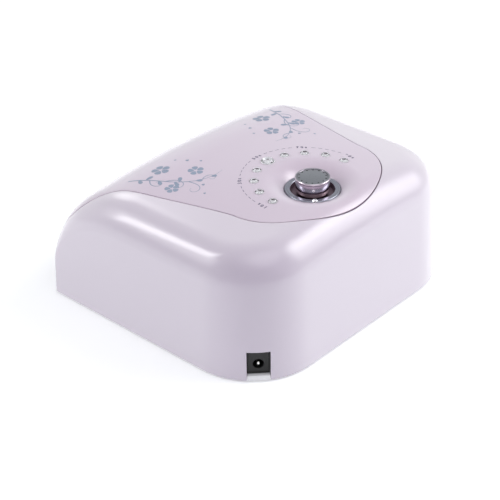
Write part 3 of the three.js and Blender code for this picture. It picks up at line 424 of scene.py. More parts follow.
def shader_group(name, inputs, outputs):
    """A node group with its named inputs and outputs, each of them with its kind of socket."""
    group = bpy.data.node_groups.new(name, "ShaderNodeTree")
    for socket, kind, value in inputs:
        made = group.interface.new_socket(socket, in_out="INPUT", socket_type=kind)
        made.default_value = value
    for socket, kind in outputs:
        group.interface.new_socket(socket, in_out="OUTPUT", socket_type=kind)
    return group, group.nodes.new("NodeGroupInput").outputs, group.nodes.new("NodeGroupOutput")


def feed(node, inputs):
    """Sets a node's inputs: another node's output is linked, and a plain value is held."""
    for name, value in inputs.items():
        if isinstance(value, bpy.types.NodeSocket):
            node.id_data.links.new(value, node.inputs[name])
        else:
            node.inputs[name].default_value = value


def add_node(tree, kind, inputs, **settings):
    """A shader node with its settings and its inputs."""
    node = tree.nodes.new("ShaderNode" + kind)
    for name, setting in settings.items():
        setattr(node, name, setting)
    feed(node, inputs)
    return node


def maths(tree, operation, *terms):
    """The result of one sum over outputs and numbers."""
    return add_node(tree, "Math", dict(enumerate(terms)), operation=operation).outputs[0]


# Moulded surface: slow unevenness of the gloss, faint sink and flow marks and a fine skin
moulded, given, result = shader_group(
    "moulded_skin",
    [("Colour", "NodeSocketColor", (0.5, 0.5, 0.5, 1)), ("Tint", "NodeSocketFloat", 0.03),
     ("Roughness", "NodeSocketFloat", 0.3), ("Grain scale", "NodeSocketFloat", 900),
     ("Grain depth", "NodeSocketFloat", 0.02)],
    [("Colour", "NodeSocketColor"), ("Roughness", "NodeSocketFloat"), ("Height", "NodeSocketFloat")])
place = add_node(moulded, "TexCoord", {}).outputs["Object"]
flow = add_node(moulded, "TexNoise", {"Vector": place, "Scale": 14, "Detail": 3})
fine = add_node(moulded, "TexNoise", {"Vector": place, "Scale": given["Grain scale"], "Detail": 2})
centred = maths(moulded, "SUBTRACT", flow.outputs["Fac"], 0.5)
speck = maths(moulded, "SUBTRACT", fine.outputs["Fac"], 0.5)
both = maths(moulded, "ADD", centred, speck)
amount = maths(moulded, "MULTIPLY_ADD", both, given["Tint"], 1)
shade = add_node(moulded, "VectorMath", {0: given["Colour"], "Scale": amount}, operation="SCALE")
gloss_spread = 0.12
feed(result, {"Colour": shade.outputs[0],
              "Roughness": maths(moulded, "MULTIPLY_ADD", centred, gloss_spread, given["Roughness"]),
              "Height": maths(moulded, "MULTIPLY", speck, given["Grain depth"])})


def linear(red, green, blue):
    """A colour as seen on a screen, from 0 to 255, as the shader's linear values."""
    return tuple(((c / 255 + 0.055) / 1.055) ** 2.4 for c in (red, green, blue)) + (1,)


def new_material(name):
    """A material, its node tree and its shader."""
    material = bpy.data.materials.new(name)
    material.use_nodes = True
    return material, material.node_tree, material.node_tree.nodes["Principled BSDF"]


def moulded_material(name, colour, roughness, tint=0.03, grain_scale=900, grain_depth=0.02,
                     metallic=0, coat=0, coat_roughness=0.1):
    """A material whose colour, roughness and bump come from the moulded skin."""
    material, tree, shader = new_material(name)
    skin_node = add_node(tree, "Group", {
        "Colour": colour, "Tint": tint, "Roughness": roughness, "Grain scale": grain_scale,
        "Grain depth": grain_depth}, node_tree=moulded).outputs
    bump = add_node(tree, "Bump", {"Distance": 0.001, "Strength": 1, "Height": skin_node["Height"]})
    feed(shader, {"Metallic": metallic, "Coat Weight": coat, "Coat Roughness": coat_roughness,
                  "Base Color": skin_node["Colour"], "Roughness": skin_node["Roughness"],
                  "Normal": bump.outputs["Normal"]})
    return material


def pearl_material(name, facing, grazing):
    """Pearlescent plastic under clear gloss: the colour turns paler where the surface turns away."""
    material = moulded_material(name, facing, 0.36, tint=0.025, grain_scale=2600,
                                grain_depth=0.004, coat=1, coat_roughness=0.11)
    shader = material.node_tree.nodes["Principled BSDF"]
    plain_colour = shader.inputs["Base Color"].links[0].from_socket
    turning = add_node(material.node_tree, "LayerWeight", {"Blend": 0.5})
    pearl = add_node(material.node_tree, "Mix", {
        "Factor": turning.outputs["Facing"], "A": plain_colour, "B": grazing}, data_type="RGBA")
    feed(shader, {"Base Color": pearl.outputs["Result"]})
    return material


pearl_shell = pearl_material("pearl_shell", linear(184, 173, 190), linear(224, 219, 225))
# Painted shade for the seam: a darker violet-grey on the step's wall and ledge that stands in for the shade
# in the gap
painted_seam_shade = moulded_material("painted_seam_shade", linear(140, 100, 140), 0.5, tint=0.2)
housing = new_piece("housing_shell", bm, pearl_shell, painted_seam_shade)
thicken(housing, shell_wall)
settle(housing)

# Hand opening: an arch with rounded shoulders, its edge eased by a small radius
tunnel_half_width = half_width - 0.019
base_top_z = rim_z + 0.003
roof_z = top_height - 0.0325
arch_radius = 0.022
opening_ease = 0.0009
overrun = 0.004


def round_shouldered(half, low, high, radius, steps):
    """A clockwise outline, square at its foot and with both upper corners rounded."""
    return ([Vector((-half, low))] + arc(radius - half, high - radius, radius, 180, 90, steps)
            + arc(half - radius, high - radius, radius, 90, 0, steps) + [Vector((half, low))])


def lofted(loops):
    """A solid through closed loops of points, filled at both ends."""
    columns = len(loops[0])
    solid = shaped_grid(columns + 1, len(loops), lambda c, r: loops[r][c % columns])
    bmesh.ops.remove_doubles(solid, verts=solid.verts, dist=1e-7)
    bmesh.ops.holes_fill(solid, edges=[e for e in solid.edges if e.is_boundary], sides=0)
    bmesh.ops.recalc_face_normals(solid, faces=solid.faces)
    return solid


def arch_bar(name, profile, bottom_z):
    """A solid bar along Y with the arch's section. The profile gives each place and its growth."""
    loops = []
    for y, grow in profile:
        section = round_shouldered(tunnel_half_width + grow, bottom_z, roof_z + grow,
                                   arch_radius + grow, 16)
        loops.append([Vector((p.x, y, p.y)) for p in section])
    return new_piece(name, lofted(loops))


eased_edge = arc(front_y + opening_ease, opening_ease, opening_ease, 180, 270, 4)
hand_profile = [(front_y - overrun, opening_ease), *eased_edge, (front_y + shell_wall + overrun, 0)]
carve(housing, arch_bar("hand_cut", hand_profile, rim_z - overrun))

# Notch for the inlet, in the inlet's own frame, whose +X points out of the rear right corner
inlet_turn = math.radians(46)
inlet_frame = Matrix.Translation((corner_x, corner_y, 0)) @ Matrix.Rotation(inlet_turn, 4, "Z")
inlet_low, inlet_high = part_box("dc_jack")
inlet_half_width = 0.0064
inlet_face = corner_radius - 0.0024
notch_depth = 0.0056


def box_between(low, high):
    """A plain box from its lowest corner to its highest."""
    box = bmesh.new()
    bmesh.ops.create_cube(box, size=1)
    bmesh.ops.scale(box, vec=Vector(high) - Vector(low), verts=box.verts)
    bmesh.ops.translate(box, vec=(Vector(low) + Vector(high)) / 2, verts=box.verts)
    return box


def moved(bm, place):
    """A mesh in the making, moved by a transform."""
    bmesh.ops.transform(bm, matrix=place, verts=bm.verts)
    return bm


def fit(piece, node, body):
    """Puts a piece in the place of a CAD node, which it hides, on its body."""
    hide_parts(node)
    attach(piece, body)


notch = box_between((inlet_face - notch_depth, -inlet_half_width - seam_gap, rim_z - overrun),
                    (corner_radius + overrun, inlet_half_width + seam_gap, inlet_high.z + seam_gap))
carve(housing, new_piece("notch_cut", moved(notch, inlet_frame)))
smooth(housing)
fit(housing, "main_housing", "root")

# Top panel: a second moulding of the same plastic, 2 mm thick, glued into the housing's step with
# a fine seam. It sinks in a dish round the knob, and a pocket in the dish takes the selector.
knob_y = rear_y - 0.043
dish_depth = 0.0072
dish_radius = 0.030
dish_under_rim = 0.0004
ring_seat_radius = 0.0166
ring_seat_round = 0.0003
pocket_radius = 0.0138
pocket_depth = 0.0044
pocket_round = 0.0006
bush_hole_radius = 0.0048
seam_relief = 0.00015
dish_rows = 24
outer_rows = 48
outer_way_steps = 120
dish_edge_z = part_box("selector_ring")[1].z - dish_under_rim
dish_floor_z = top_z(0, knob_y) - dish_depth
pocket_floor_z = dish_floor_z - pocket_depth
dish_fall = top_z(0, knob_y) - dish_edge_z
seat_edge_turn = math.atan((dish_radius - ring_seat_radius) / (2 * dish_fall))


def panel_z(x, y):
    """Height of the panel's upper surface. The dish is steepest at the ring and runs out flat."""
    share = clamp((math.hypot(x, y - knob_y) - ring_seat_radius) / (dish_radius - ring_seat_radius))
    return mix(dish_edge_z, surface_z(x, y), 1 - (1 - share) ** 2)


# Section of the pocket and of the ring's seat, from the bush hole outwards, as radii and heights
seat_section = [
    Vector((bush_hole_radius, pocket_floor_z)),
    Vector((pocket_radius - 2 * pocket_round, pocket_floor_z)),
    *arc(pocket_radius - pocket_round, pocket_floor_z + pocket_round, pocket_round, -90, 0, 4),
    *arc(pocket_radius + pocket_round, dish_floor_z - pocket_round, pocket_round, 180, 90, 4),
    *arc(ring_seat_radius - ring_seat_round, dish_floor_z + ring_seat_round, ring_seat_round, -90, 0, 3),
    *arc(ring_seat_radius + ring_seat_round, dish_edge_z - ring_seat_round * math.sin(seat_edge_turn),
         ring_seat_round, 180, 180 - math.degrees(seat_edge_turn), 4),
]


def panel_column(index):
    """Points of the panel from the bush hole outwards, in the upright plane through the knob."""
    end = panel_loops[0][index]
    centre = Vector((0, knob_y))
    away = (end - centre).normalized()
    dish_start = centre + away * seat_section[-1].x
    dish_end = centre + away * dish_radius
    column = [(centre + away * p.x).to_3d() + Vector((0, 0, p.y)) for p in seat_section]
    column += draped(panel_z, dish_start, dish_end, dish_rows)[1:-1]
    column += evenly(draped(panel_z, dish_end, end, outer_way_steps), outer_rows)
    for loop, (_, depth) in zip(panel_loops[1:], panel_edge[1:]):
        column.append(below(panel_z, loop[index].x, loop[index].y, depth))
    return column


panel_edge = [*arc(seam_round, seam_round, seam_round, -90, -180, 3), (0, 0.8 * panel_thickness)]
panel_outline = full_outline(half_outline(30, 26, 22), 30)
panel_loops = [grown(panel_outline, -seam_relief - inset) for inset, _ in panel_edge]
panel_columns = [panel_column(index) for index in range(len(panel_outline))]
panel_columns.append(panel_columns[0])
bm = shaped_grid(len(panel_columns), len(panel_columns[0]), lambda c, r: panel_columns[c][r])
close_up(bm, Vector((0, 0, 1)))
pearl_panel = pearl_material("pearl_panel", linear(190, 174, 190), linear(216, 206, 219))
panel = new_piece("panel", bm, pearl_panel)
thicken(panel, panel_thickness)
settle(panel)
smooth(panel)
fit(panel, "top_panel", "root")

# Printing: slate-blue ink on the panel, a film a few hundredths of a millimetre thick. Seconds
# stand outside every second stone on a dashed arc, and a vine with blossoms fills both front
# corners of the panel.
ink_lift = 0.00004
ink_thickness = 0.000028
arc_centre = Vector((0, rear_y - 0.047))
arc_radius = 0.0389
seconds = ("10s", "30s", "50s", "70s", "90s")
letter_size = 0.0031
letter_weight = 0.00009
letter_spacing = 1.7
stone_turn = math.pi / 8
dash_count = 5
dash_width = 0.0003
dash_spacing = 0.105
dash_half_turn = 0.031

# The vine: heading, length, first turn and last turn of its stem and offshoots, and the leaves'
# headings and lengths. Offshoots also have a width, and like the leaves they start at a point of
# the stem that is given first. Blossoms and buds have places and sizes.
stem_start = (0.0625, -0.0475)
stem_course = (118, 0.060, -0.8, 3.6)
stem_points = 44
stem_width = 0.0010
stroke_end_width = 0.00018
offshoots = ((10, 40, 0.019, 3, 34, 0.0007), (17, 150, 0.026, -3, -26, 0.0007),
             (27, 95, 0.022, 2, -30, 0.0007), (33, 205, 0.016, -6, -34, 0.0006))
leaves = ((5, 60, 0.0050), (8, 175, 0.0055), (14, 60, 0.0046), (21, 70, 0.0050), (23, 215, 0.0052),
          (30, 130, 0.0040), (37, 150, 0.0036))
leaf_width = 0.0024
petal_headings = (18, 90, 162, 234, 306)
blossoms = ((0.0445, -0.0385, 0.0046), (0.0335, -0.0205, 0.0040), (0.0560, -0.0180, 0.0036))
buds = ((0.0265, -0.0330, 0.0011), (0.0225, -0.0260, 0.0008), (0.0415, -0.0060, 0.0010),
        (0.0480, 0.0010, 0.0008), (0.0300, -0.0400, 0.0008))


def ink_stroke(bm, points, widths):
    """A flat stroke through points of the plan, with its width at each of them."""
    first = len(bm.verts)
    bmesh.ops.create_grid(bm, x_segments=1, y_segments=len(points) - 1, size=1)
    bm.verts.ensure_lookup_table()
    for k, point in enumerate(points):
        along = (points[min(k + 1, len(points) - 1)] - points[max(k - 1, 0)]).normalized()
        across = Vector((along.y, -along.x)) * (widths[k] / 2)
        bm.verts[first + 2 * k].co.xy = point - across
        bm.verts[first + 2 * k + 1].co.xy = point + across


def ink_petal(bm, tip, heading, length, width):
    """A flat drop shape whose narrow end lies at a point and which grows along a heading."""
    made = bmesh.ops.create_circle(bm, cap_ends=True, cap_tris=True, segments=14, radius=0.5)
    for vert in made["verts"]:
        vert.co.y *= width * (1 + 0.9 * vert.co.x)
        vert.co.x = (vert.co.x + 0.5) * length
    turn = Matrix.Translation((tip.x, tip.y, 0)) @ Matrix.Rotation(math.radians(heading), 4, "Z")
    bmesh.ops.transform(bm, matrix=turn, verts=made["verts"])


def tendril(start, heading, length, first_turn, last_turn, steps=30):
    """A line that winds up: its turn, in degrees per millimetre, changes evenly on the way."""
    points = [Vector(start)]
    for k in range(steps):
        points.append(points[-1] + toward(math.radians(heading)) * (length / steps))
        heading += mix(first_turn, last_turn, k / steps) * 1000 * length / steps
    return points


def ink_film(name, bm, finish):
    """Drapes flat shapes of the plan over the panel as a closed film of ink."""
    for vert in bm.verts:
        vert.co.z = panel_z(vert.co.x, vert.co.y) + ink_lift
    close_up(bm, Vector((0, 0, 1)))
    for face in bm.faces:
        if face.normal.z < 0:
            face.normal_flip()
    film = new_piece(name, bm, finish)
    thicken(film, ink_thickness)
    settle(film)
    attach(film, "root")


ink = moulded_material("printing_ink", linear(68, 68, 98), 0.42, tint=0.2, grain_scale=3000)
art_ink = moulded_material("artwork_ink", linear(138, 150, 170), 0.42, tint=0.25, grain_scale=1500)
bm = bmesh.new()
for number, words in enumerate(seconds):
    angle = -2 * stone_turn * number
    letters = bpy.data.curves.new("letters", "FONT")
    letters.body = words
    letters.size = letter_size
    letters.space_character = letter_spacing
    letters.offset = letter_weight
    letters.align_x = "CENTER"
    letters.align_y = "CENTER"
    writing = bpy.data.objects.new("letters", letters)
    bpy.context.scene.collection.objects.link(writing)
    bpy.context.view_layer.update()
    flat = bpy.data.meshes.new_from_object(writing.evaluated_get(bpy.context.evaluated_depsgraph_get()))
    place = Matrix.Translation((arc_centre + toward(angle) * arc_radius).to_3d())
    flat.transform(place @ Matrix.Rotation(angle - math.pi / 2, 4, "Z"))
    bm.from_mesh(flat)
    bpy.data.objects.remove(writing)
    if words == seconds[-1]:
        continue
    for k in range(dash_count):
        middle = angle - stone_turn - dash_spacing * (k - dash_count // 2)
        dash = [arc_centre + toward(middle + turn) * arc_radius
                for turn in (-dash_half_turn, 0, dash_half_turn)]
        ink_stroke(bm, dash, [dash_width] * 3)
ink_film("printing_time_scale", bm, ink)

for side, hand in (("right", 1), ("left", -1)):
    bm = bmesh.new()
    stem = tendril(stem_start, *stem_course, stem_points)
    vines = [(stem, stem_width)]
    vines += [(tendril(stem[k], *course), width) for k, *course, width in offshoots]
    for points, width in vines:
        widths = [mix(width, stroke_end_width, k / (len(points) - 1)) for k in range(len(points))]
        ink_stroke(bm, points, widths)
    for k, heading, length in leaves:
        ink_petal(bm, stem[k], heading, length, leaf_width)
    for x, y, size in blossoms:
        for heading in petal_headings:
            petal_foot = Vector((x, y)) + toward(math.radians(heading)) * 0.22 * size
            ink_petal(bm, petal_foot, heading, size, 0.85 * size)
    for x, y, size in buds:
        ink_petal(bm, Vector((x, y)), 0, 2 * size, 1.8 * size)
    for vert in bm.verts:
        vert.co.x *= hand
    ink_film("printing_vine_" + side, bm, art_ink)

# Stones: nine clear cut crystals, the middle one larger, glued into shallow seats in the panel.
# Under each lies a silvered cup whose middle is painted dark, a painted reflection of the dark that
# the cut gives back, smaller for its size under the larger stone.
crown_share = 0.52
seat_depth = 0.0007
seat_slack = 0.0002
stone_sink = 0.00046
foil_gap = 0.00008
foil_thickness = 0.0001
foil_round = 0.00003
cup_floor_share = 0.3
cup_waist_share = 0.6
cup_waist_rise = 0.41
cup_rim_share = 1.03
cup_rim_rise = 0.02
cup_skirt_drop = 0.05
# Shares of the stone's radius painted dark in the middle of each cup: a painted dark reflection
dark_centre_share = 0.5
large_dark_centre_share = 0.3
stones = ["stone_%d" % k for k in range(1, 10)]
large_stone = "stone_5"


def seat_of(node):
    """Where a stone sits: the middle of its seat on the surface, and its radius."""
    low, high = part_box(node)
    radius = (high.x - low.x) / 2
    return Vector(((low.x + high.x) / 2, (low.y + high.y) / 2, high.z - crown_share * radius)), radius


def gem(radius, sink):
    """A cut crystal: table, star and main facets, a thin girdle and a blunt pavilion. Each ring of
    corners has its share of the radius, its height and its turn in sides."""
    bm = bmesh.new()
    sides = 8
    cuts = ((0.42, crown_share * radius, 0), (0.75, 0.40 * radius, 0.5), (0.985, 0.17 * radius, 0),
            (1, 0.09 * radius, 0), (1, 0.09 * radius, 0.5), (0.25, -sink, 0))
    for share, height, turn in cuts:
        ring = bmesh.ops.create_circle(bm, segments=sides, radius=share * radius)["verts"]
        bmesh.ops.rotate(bm, verts=ring, matrix=Matrix.Rotation(2 * math.pi * turn / sides, 3, "Z"))
        bmesh.ops.translate(bm, verts=ring, vec=(0, 0, height))
    bmesh.ops.convex_hull(bm, input=bm.verts)
    bmesh.ops.delete(bm, geom=[e for e in bm.edges if e.is_wire], context="EDGES")
    bmesh.ops.recalc_face_normals(bm, faces=bm.faces)
    return bm


def eased(profile, width, closed=False):
    """A profile with each of its corners rounded."""
    points = [Vector(p) for p in profile]
    corners = list(zip(points, points[1:], points[2:]))
    if closed:
        corners = list(zip(points[-1:] + points[:-1], points, points[1:] + points[:1]))
    soft = []
    for before, corner, after in corners:
        start = corner + (before - corner) * min(0.45, width / (before - corner).length)
        end = corner + (after - corner) * min(0.45, width / (after - corner).length)
        soft += geometry.interpolate_bezier(start, start.lerp(corner, 0.55), end.lerp(corner, 0.55), end, 4)
    return soft + soft[:1] if closed else [points[0]] + soft + [points[-1]]


def turned(profile, x=0, y=0, z=0, steps=96):
    """A profile of radii and heights spun round an upright axis."""
    bm = bmesh.new()
    verts = [bmesh.ops.create_vert(bm, co=(point[0], 0, point[1]))["vert"][0] for point in profile]
    edges = [bm.edges.new(pair) for pair in zip(verts, verts[1:])]
    bmesh.ops.spin(bm, geom=verts + edges, cent=(0, 0, 0), axis=(0, 0, 1), angle=2 * math.pi,
                   steps=steps, use_merge=True)
    close_up(bm)
    bmesh.ops.translate(bm, verts=bm.verts, vec=(x, y, z))
    return bm


def peg(radius, low, high, x=0, y=0, z=0, steps=48):
    """A plain round bar between two heights."""
    return turned([(0, low), (radius, low), (radius, high), (0, high)], x, y, z, steps)


def add_to(bm, other):
    """Moves a second form into the first mesh."""
    mesh = bpy.data.meshes.new("part")
    other.to_mesh(mesh)
    other.free()
    bm.from_mesh(mesh)
    bpy.data.meshes.remove(mesh)
    return bm


crystal = moulded_material("crystal", (0.97, 0.97, 1, 1), 0.015, tint=0.01, grain_depth=0)
feed(crystal.node_tree.nodes["Principled BSDF"], {"Transmission Weight": 1, "IOR": 1.54})
foil = moulded_material("silver_foil", (0.97, 0.97, 0.98, 1), 0.35, tint=0.03, grain_scale=1500,
                        grain_depth=0.05, metallic=0.1)
# Painted dark reflection for the middle of each stone's cup
painted_dark_centre = moulded_material("painted_dark_centre", (0.09, 0.055, 0.08, 1), 0.6)


def set_stone(node, body, sink, dark_centre):
    """A stone with its foil cup, in place. The dark centre, painted on the cup as a painted reflection, is
    a share of the stone's radius.
    """
    seat, radius = seat_of(node)
    floor_z = -sink - foil_gap
    cup_rim_z = cup_rim_rise * radius
    profile = [(0, floor_z), (cup_floor_share * radius, floor_z),
               (cup_waist_share * radius, mix(floor_z, cup_rim_z, cup_waist_rise)),
               (cup_rim_share * radius, cup_rim_z), (cup_rim_share * radius, -cup_skirt_drop * radius),
               (cup_floor_share * radius, floor_z - foil_thickness), (0, floor_z - foil_thickness)]
    cup = turned(eased(profile, foil_round), steps=32)
    for face in cup.faces:
        # The middle of the cup takes the painted dark reflection
        face.material_index = 2 if face.calc_center_median().xy.length < dark_centre * radius else 1
        face.smooth = True
    bm = add_to(gem(radius, sink), cup)
    bmesh.ops.translate(bm, verts=bm.verts, vec=seat)
    fit(new_piece("cut_" + node, bm, crystal, foil, painted_dark_centre), node, body)


seats = bmesh.new()
for node in stones:
    seat, radius = seat_of(node)
    add_to(seats, peg(radius + seat_slack, -seat_depth, overrun, *seat))
    set_stone(node, "root", stone_sink, large_dark_centre_share if node == large_stone else dark_centre_share)
carve(panel, new_piece("seat_cut", seats))
smooth(panel)

# Rotary switch: body, bush, nut, keyed shaft and push stem sit under the panel and are kept from
# the CAD. The body with its bush and tags is black plastic, the rest turned and zinc-plated steel.
marks, given, result = shader_group(
    "turning_marks",
    [("Centre", "NodeSocketVector", (0, 0, 0)), ("Scale", "NodeSocketFloat", 3000)],
    [("Value", "NodeSocketFloat")])
place = add_node(marks, "TexCoord", {}).outputs["Object"]
from_axis = add_node(marks, "VectorMath", {0: place, 1: given["Centre"]}, operation="SUBTRACT").outputs[0]
flat_part = add_node(marks, "VectorMath", {0: from_axis, 1: (1, 1, 0)}, operation="MULTIPLY")
reach = add_node(marks, "VectorMath", {0: flat_part.outputs[0]}, operation="LENGTH")
upright = add_node(marks, "SeparateXYZ", {0: from_axis}).outputs["Z"]
join = add_node(marks, "CombineXYZ", {"X": reach.outputs["Value"], "Y": upright})
marking = add_node(marks, "TexNoise", {"Vector": join.outputs[0], "Scale": given["Scale"], "Detail": 3})
feed(result, {"Value": marking.outputs["Fac"]})


def turned_metal(name, colour, roughness, centre, scale, depth, spread=0.12):
    """Metal with fine marks that run round an axis, in its gloss and its relief."""
    material, tree, shader = new_material(name)
    turning = add_node(tree, "Group", {"Centre": centre, "Scale": scale}, node_tree=marks).outputs["Value"]
    gloss = add_node(tree, "MapRange", {
        "Value": turning, "From Min": 0.3, "From Max": 0.7,
        "To Min": roughness * (1 - spread), "To Max": roughness * (1 + spread)})
    bump = add_node(tree, "Bump", {"Distance": 0.001, "Strength": depth, "Height": turning})
    feed(shader, {"Base Color": colour, "Metallic": 1, "Roughness": gloss.outputs["Result"],
                  "Normal": bump.outputs["Normal"]})
    return material


def dress(node, material, degrees=35):
    """Gives a piece kept from the CAD its material, and smooth shading where it is round."""
    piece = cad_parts[node]
    piece.data.materials.clear()
    piece.data.materials.append(material)
    piece.data.polygons.foreach_set("use_smooth", [True] * len(piece.data.polygons))
    weld = piece.modifiers.new("weld", "WELD")
    weld.merge_threshold = 1e-6
    crisp = piece.modifiers.new("crisp edges", "EDGE_SPLIT")
    crisp.split_angle = math.radians(degrees)


dial_axis = (0, knob_y, 0)
steel = turned_metal("plated_steel", (0.62, 0.62, 0.63, 1), 0.28, dial_axis, 2500, 0.02)
black_plastic = moulded_material("black_plastic", linear(12, 11, 13), 0.5, tint=0.15,
                                 grain_scale=2500, grain_depth=0.05)
dress("switch_body", black_plastic)
for node in ("switch_nut", "switch_shaft", "push_stem"):
    dress(node, steel)

# Selector ring: a metal cup whose flat rim lies flush in the dish and turns with the shaft. The rim
# is polished with narrow bevels, its well is painted dark as painted shade round the knob, and a small
# stone in a pit of the rim is its pointer.
ring_low, ring_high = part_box("selector_ring")
shaft_hole_radius = 0.0032
hub_radius = 0.0055
hub_height = 0.0028
floor_height = 0.0012
floor_radius = 0.0122
well_radius = 0.0130
well_mouth_radius = 0.0129
well_mouth_depth = 0.0005
cup_radius = 0.0133
rim_radius = 0.0163
rim_thickness = 0.002
rim_bevel = 0.0003
ring_ease = 0.00015
pit_depth = 0.0008
pointer_sink = 0.00056
# Share of the pointer stone's radius painted dark in its cup, as a painted reflection
pointer_dark_centre_share = 0.2
ring_profile = [
    (shaft_hole_radius, ring_low.z), (cup_radius, ring_low.z), (cup_radius, ring_high.z - rim_thickness),
    (rim_radius, ring_high.z - rim_thickness), (rim_radius, ring_high.z - rim_bevel),
    (rim_radius - rim_bevel, ring_high.z), (cup_radius, ring_high.z),
    (well_mouth_radius, ring_high.z - well_mouth_depth), (floor_radius, ring_low.z + floor_height),
    (hub_radius, ring_low.z + floor_height), (hub_radius, ring_low.z + hub_height),
    (shaft_hole_radius, ring_low.z + hub_height),
]
ring_metal = turned_metal("ring_plating", (0.35, 0.36, 0.42, 1), 0.26, dial_axis, 2600, 0.015)
# Painted shade: dark metal for the well round the knob's foot
well_shade_metal = turned_metal("well_painted_shade", (0.17, 0.12, 0.15, 1), 0.35, dial_axis, 2600, 0.02)
bm = turned(eased(ring_profile, ring_ease, closed=True), y=knob_y)
# Faces down in the well take the painted shade
for face in bm.faces:
    middle = face.calc_center_median()
    in_well = math.hypot(middle.x, middle.y - knob_y) < well_radius
    face.material_index = 1 if in_well and middle.z < ring_high.z - 0.8 * well_mouth_depth else 0
ring = new_piece("selector_cup", bm, ring_metal, well_shade_metal)
pointer_seat, pointer_radius = seat_of("pointer_stone")
pit = peg(pointer_radius + seat_slack, -pit_depth, overrun, *pointer_seat, steps=32)
carve(ring, new_piece("pit_cut", pit))
smooth(ring)
fit(ring, "selector_ring", "dial")
set_stone("pointer_stone", "dial", pointer_sink, pointer_dark_centre_share)

# Knob: a turned and polished cap with a narrow bevel, a tapered foot with three fine grooves, painted
# darker as a painted reflection of the shaded well, and a sunk brushed disc with a ring of fourteen
# black dots. It slides on the keyed shaft and stands on the push stem.
knob_low, knob_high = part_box("knob")
knob_radius = (knob_high.x - knob_low.x) / 2
foot_radius = knob_radius - 0.0009
dark_foot_height = 0.0025
foot_ease = 0.0004
foot_slope = 0.1
groove_heights = (0.0012, 0.0018, 0.0024)
groove_depth = 0.00014
groove_half = 0.00016
groove_floor_half = 0.00008
waist_height = 0.0032
waist_inset = 0.0003
neck_inset = 0.0002
neck_depth = 0.0014
band_depth = 0.0010
bevel_depth = 0.0004
bevel_width = 0.0003
lip_radius = 0.0089
lip_depth = 0.0008
shaft_bore_height = 0.007
recess_radius = 0.0059
recess_height = 0.0016
knob_ease = 0.00010
knob_profile = [
    (0, knob_low.z + shaft_bore_height), (shaft_hole_radius, knob_low.z + shaft_bore_height),
    (shaft_hole_radius, knob_low.z + recess_height), (recess_radius, knob_low.z + recess_height),
    (recess_radius, knob_low.z), (foot_radius - foot_ease, knob_low.z),
    (foot_radius, knob_low.z + foot_ease),
]
for height in groove_heights:
    for cut, step in ((0, -groove_half), (groove_depth, -groove_floor_half),
                      (groove_depth, groove_floor_half), (0, groove_half)):
        knob_profile.append((foot_radius - cut + foot_slope * height, knob_low.z + height + step))
knob_profile += [
    (knob_radius - waist_inset, knob_low.z + waist_height),
    (knob_radius - neck_inset, knob_high.z - neck_depth), (knob_radius, knob_high.z - band_depth),
    (knob_radius, knob_high.z - bevel_depth), (knob_radius - bevel_width, knob_high.z),
    (lip_radius, knob_high.z), (lip_radius, knob_high.z - lip_depth), (0, knob_high.z - lip_depth),
]
knob_metal = turned_metal("knob_plating", (0.68, 0.61, 0.68, 1), 0.16, dial_axis, 2200, 0.012)
brushed = turned_metal("brushed_face", (0.33, 0.345, 0.375, 1), 0.34, dial_axis, 6000, 0.05, 0.3)
# Painted reflection: the foot is painted darker where it mirrors the shaded well
foot_shade_metal = turned_metal("foot_plating", (0.26, 0.19, 0.22, 1), 0.3, dial_axis, 2200, 0.015)
bm = turned(eased(knob_profile, knob_ease), y=knob_y)
for face in bm.faces:
    face.material_index = 1 if face.normal.z > 0.9 else 0
    # The foot's faces take the painted reflection of the shaded well
    if face.calc_center_median().z < knob_low.z + dark_foot_height:
        face.material_index = 2
knob = new_piece("knob_cap", bm, knob_metal, brushed, foot_shade_metal)
smooth(knob, 28)
fit(knob, "knob", "knob")

disc_low, disc_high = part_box("knob_face")
disc_radius = (disc_high.x - disc_low.x) / 2
disc_ease = 0.00008
disc_profile = [(0, disc_low.z), (disc_radius, disc_low.z), (disc_radius, disc_high.z), (0, disc_high.z)]
disc = new_piece("brushed_face", turned(eased(disc_profile, disc_ease), y=knob_y), brushed)
smooth(disc)
fit(disc, "knob_face", "knob")

dot_count = 14
dot_circle = 0.0079
dot_profile = [(0, -0.00005), (0.00052, -0.00005), (0.00052, 0.00003), (0.00044, 0.00007), (0, 0.00007)]
dots = bmesh.new()
for k in range(dot_count):
    spot = Vector((0, knob_y)) + toward(2 * math.pi * (k + 0.5) / dot_count) * dot_circle
    add_to(dots, turned(dot_profile, *spot, disc_high.z, steps=20))
dot_paint = moulded_material("dot_paint", (0.02, 0.02, 0.025, 1), 0.4)
face_dots = new_piece("face_dots", dots, dot_paint)
smooth(face_dots)
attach(face_dots, "knob")

# Reflector: the lining of the hand tunnel, one white-metallised moulding 1.8 mm thick with
# rounded rear corners and a round hole in front of each lamp. It stands on the base plate.
lining_wall = 0.0018
lining_low_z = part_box("reflector")[0].z
lining_front_y = front_y + 0.0035
tunnel_rear_y = rear_y - 0.048
tunnel_rear_radius = 0.030
lamps = ["lamp_%d" % k for k in range(1, 13)]
lamp_radius = 0.0025


def prism(loop, profile):
    """A solid over a clockwise plan outline. The profile gives the growth at each height."""
    return lofted([[Vector((p.x, p.y, z)) for p in grown(loop, grow)] for grow, z in profile])


def tunnel_form(grow, low_y, low_z):
    """The tunnel's space, an arch along Y with rounded rear corners."""
    form = arch_bar("tunnel", [(low_y, grow), (tunnel_rear_y + overrun, grow)], low_z)
    plan = round_shouldered(tunnel_half_width + grow, low_y - overrun, tunnel_rear_y + grow,
                            tunnel_rear_radius + grow, 18)
    carve(form, new_piece("plan", prism(plan, [(0, low_z - overrun), (0, top_height)])), "INTERSECT")
    return form


def middle_of(node):
    """The middle of a node's box."""
    low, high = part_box(node)
    return (low + high) / 2


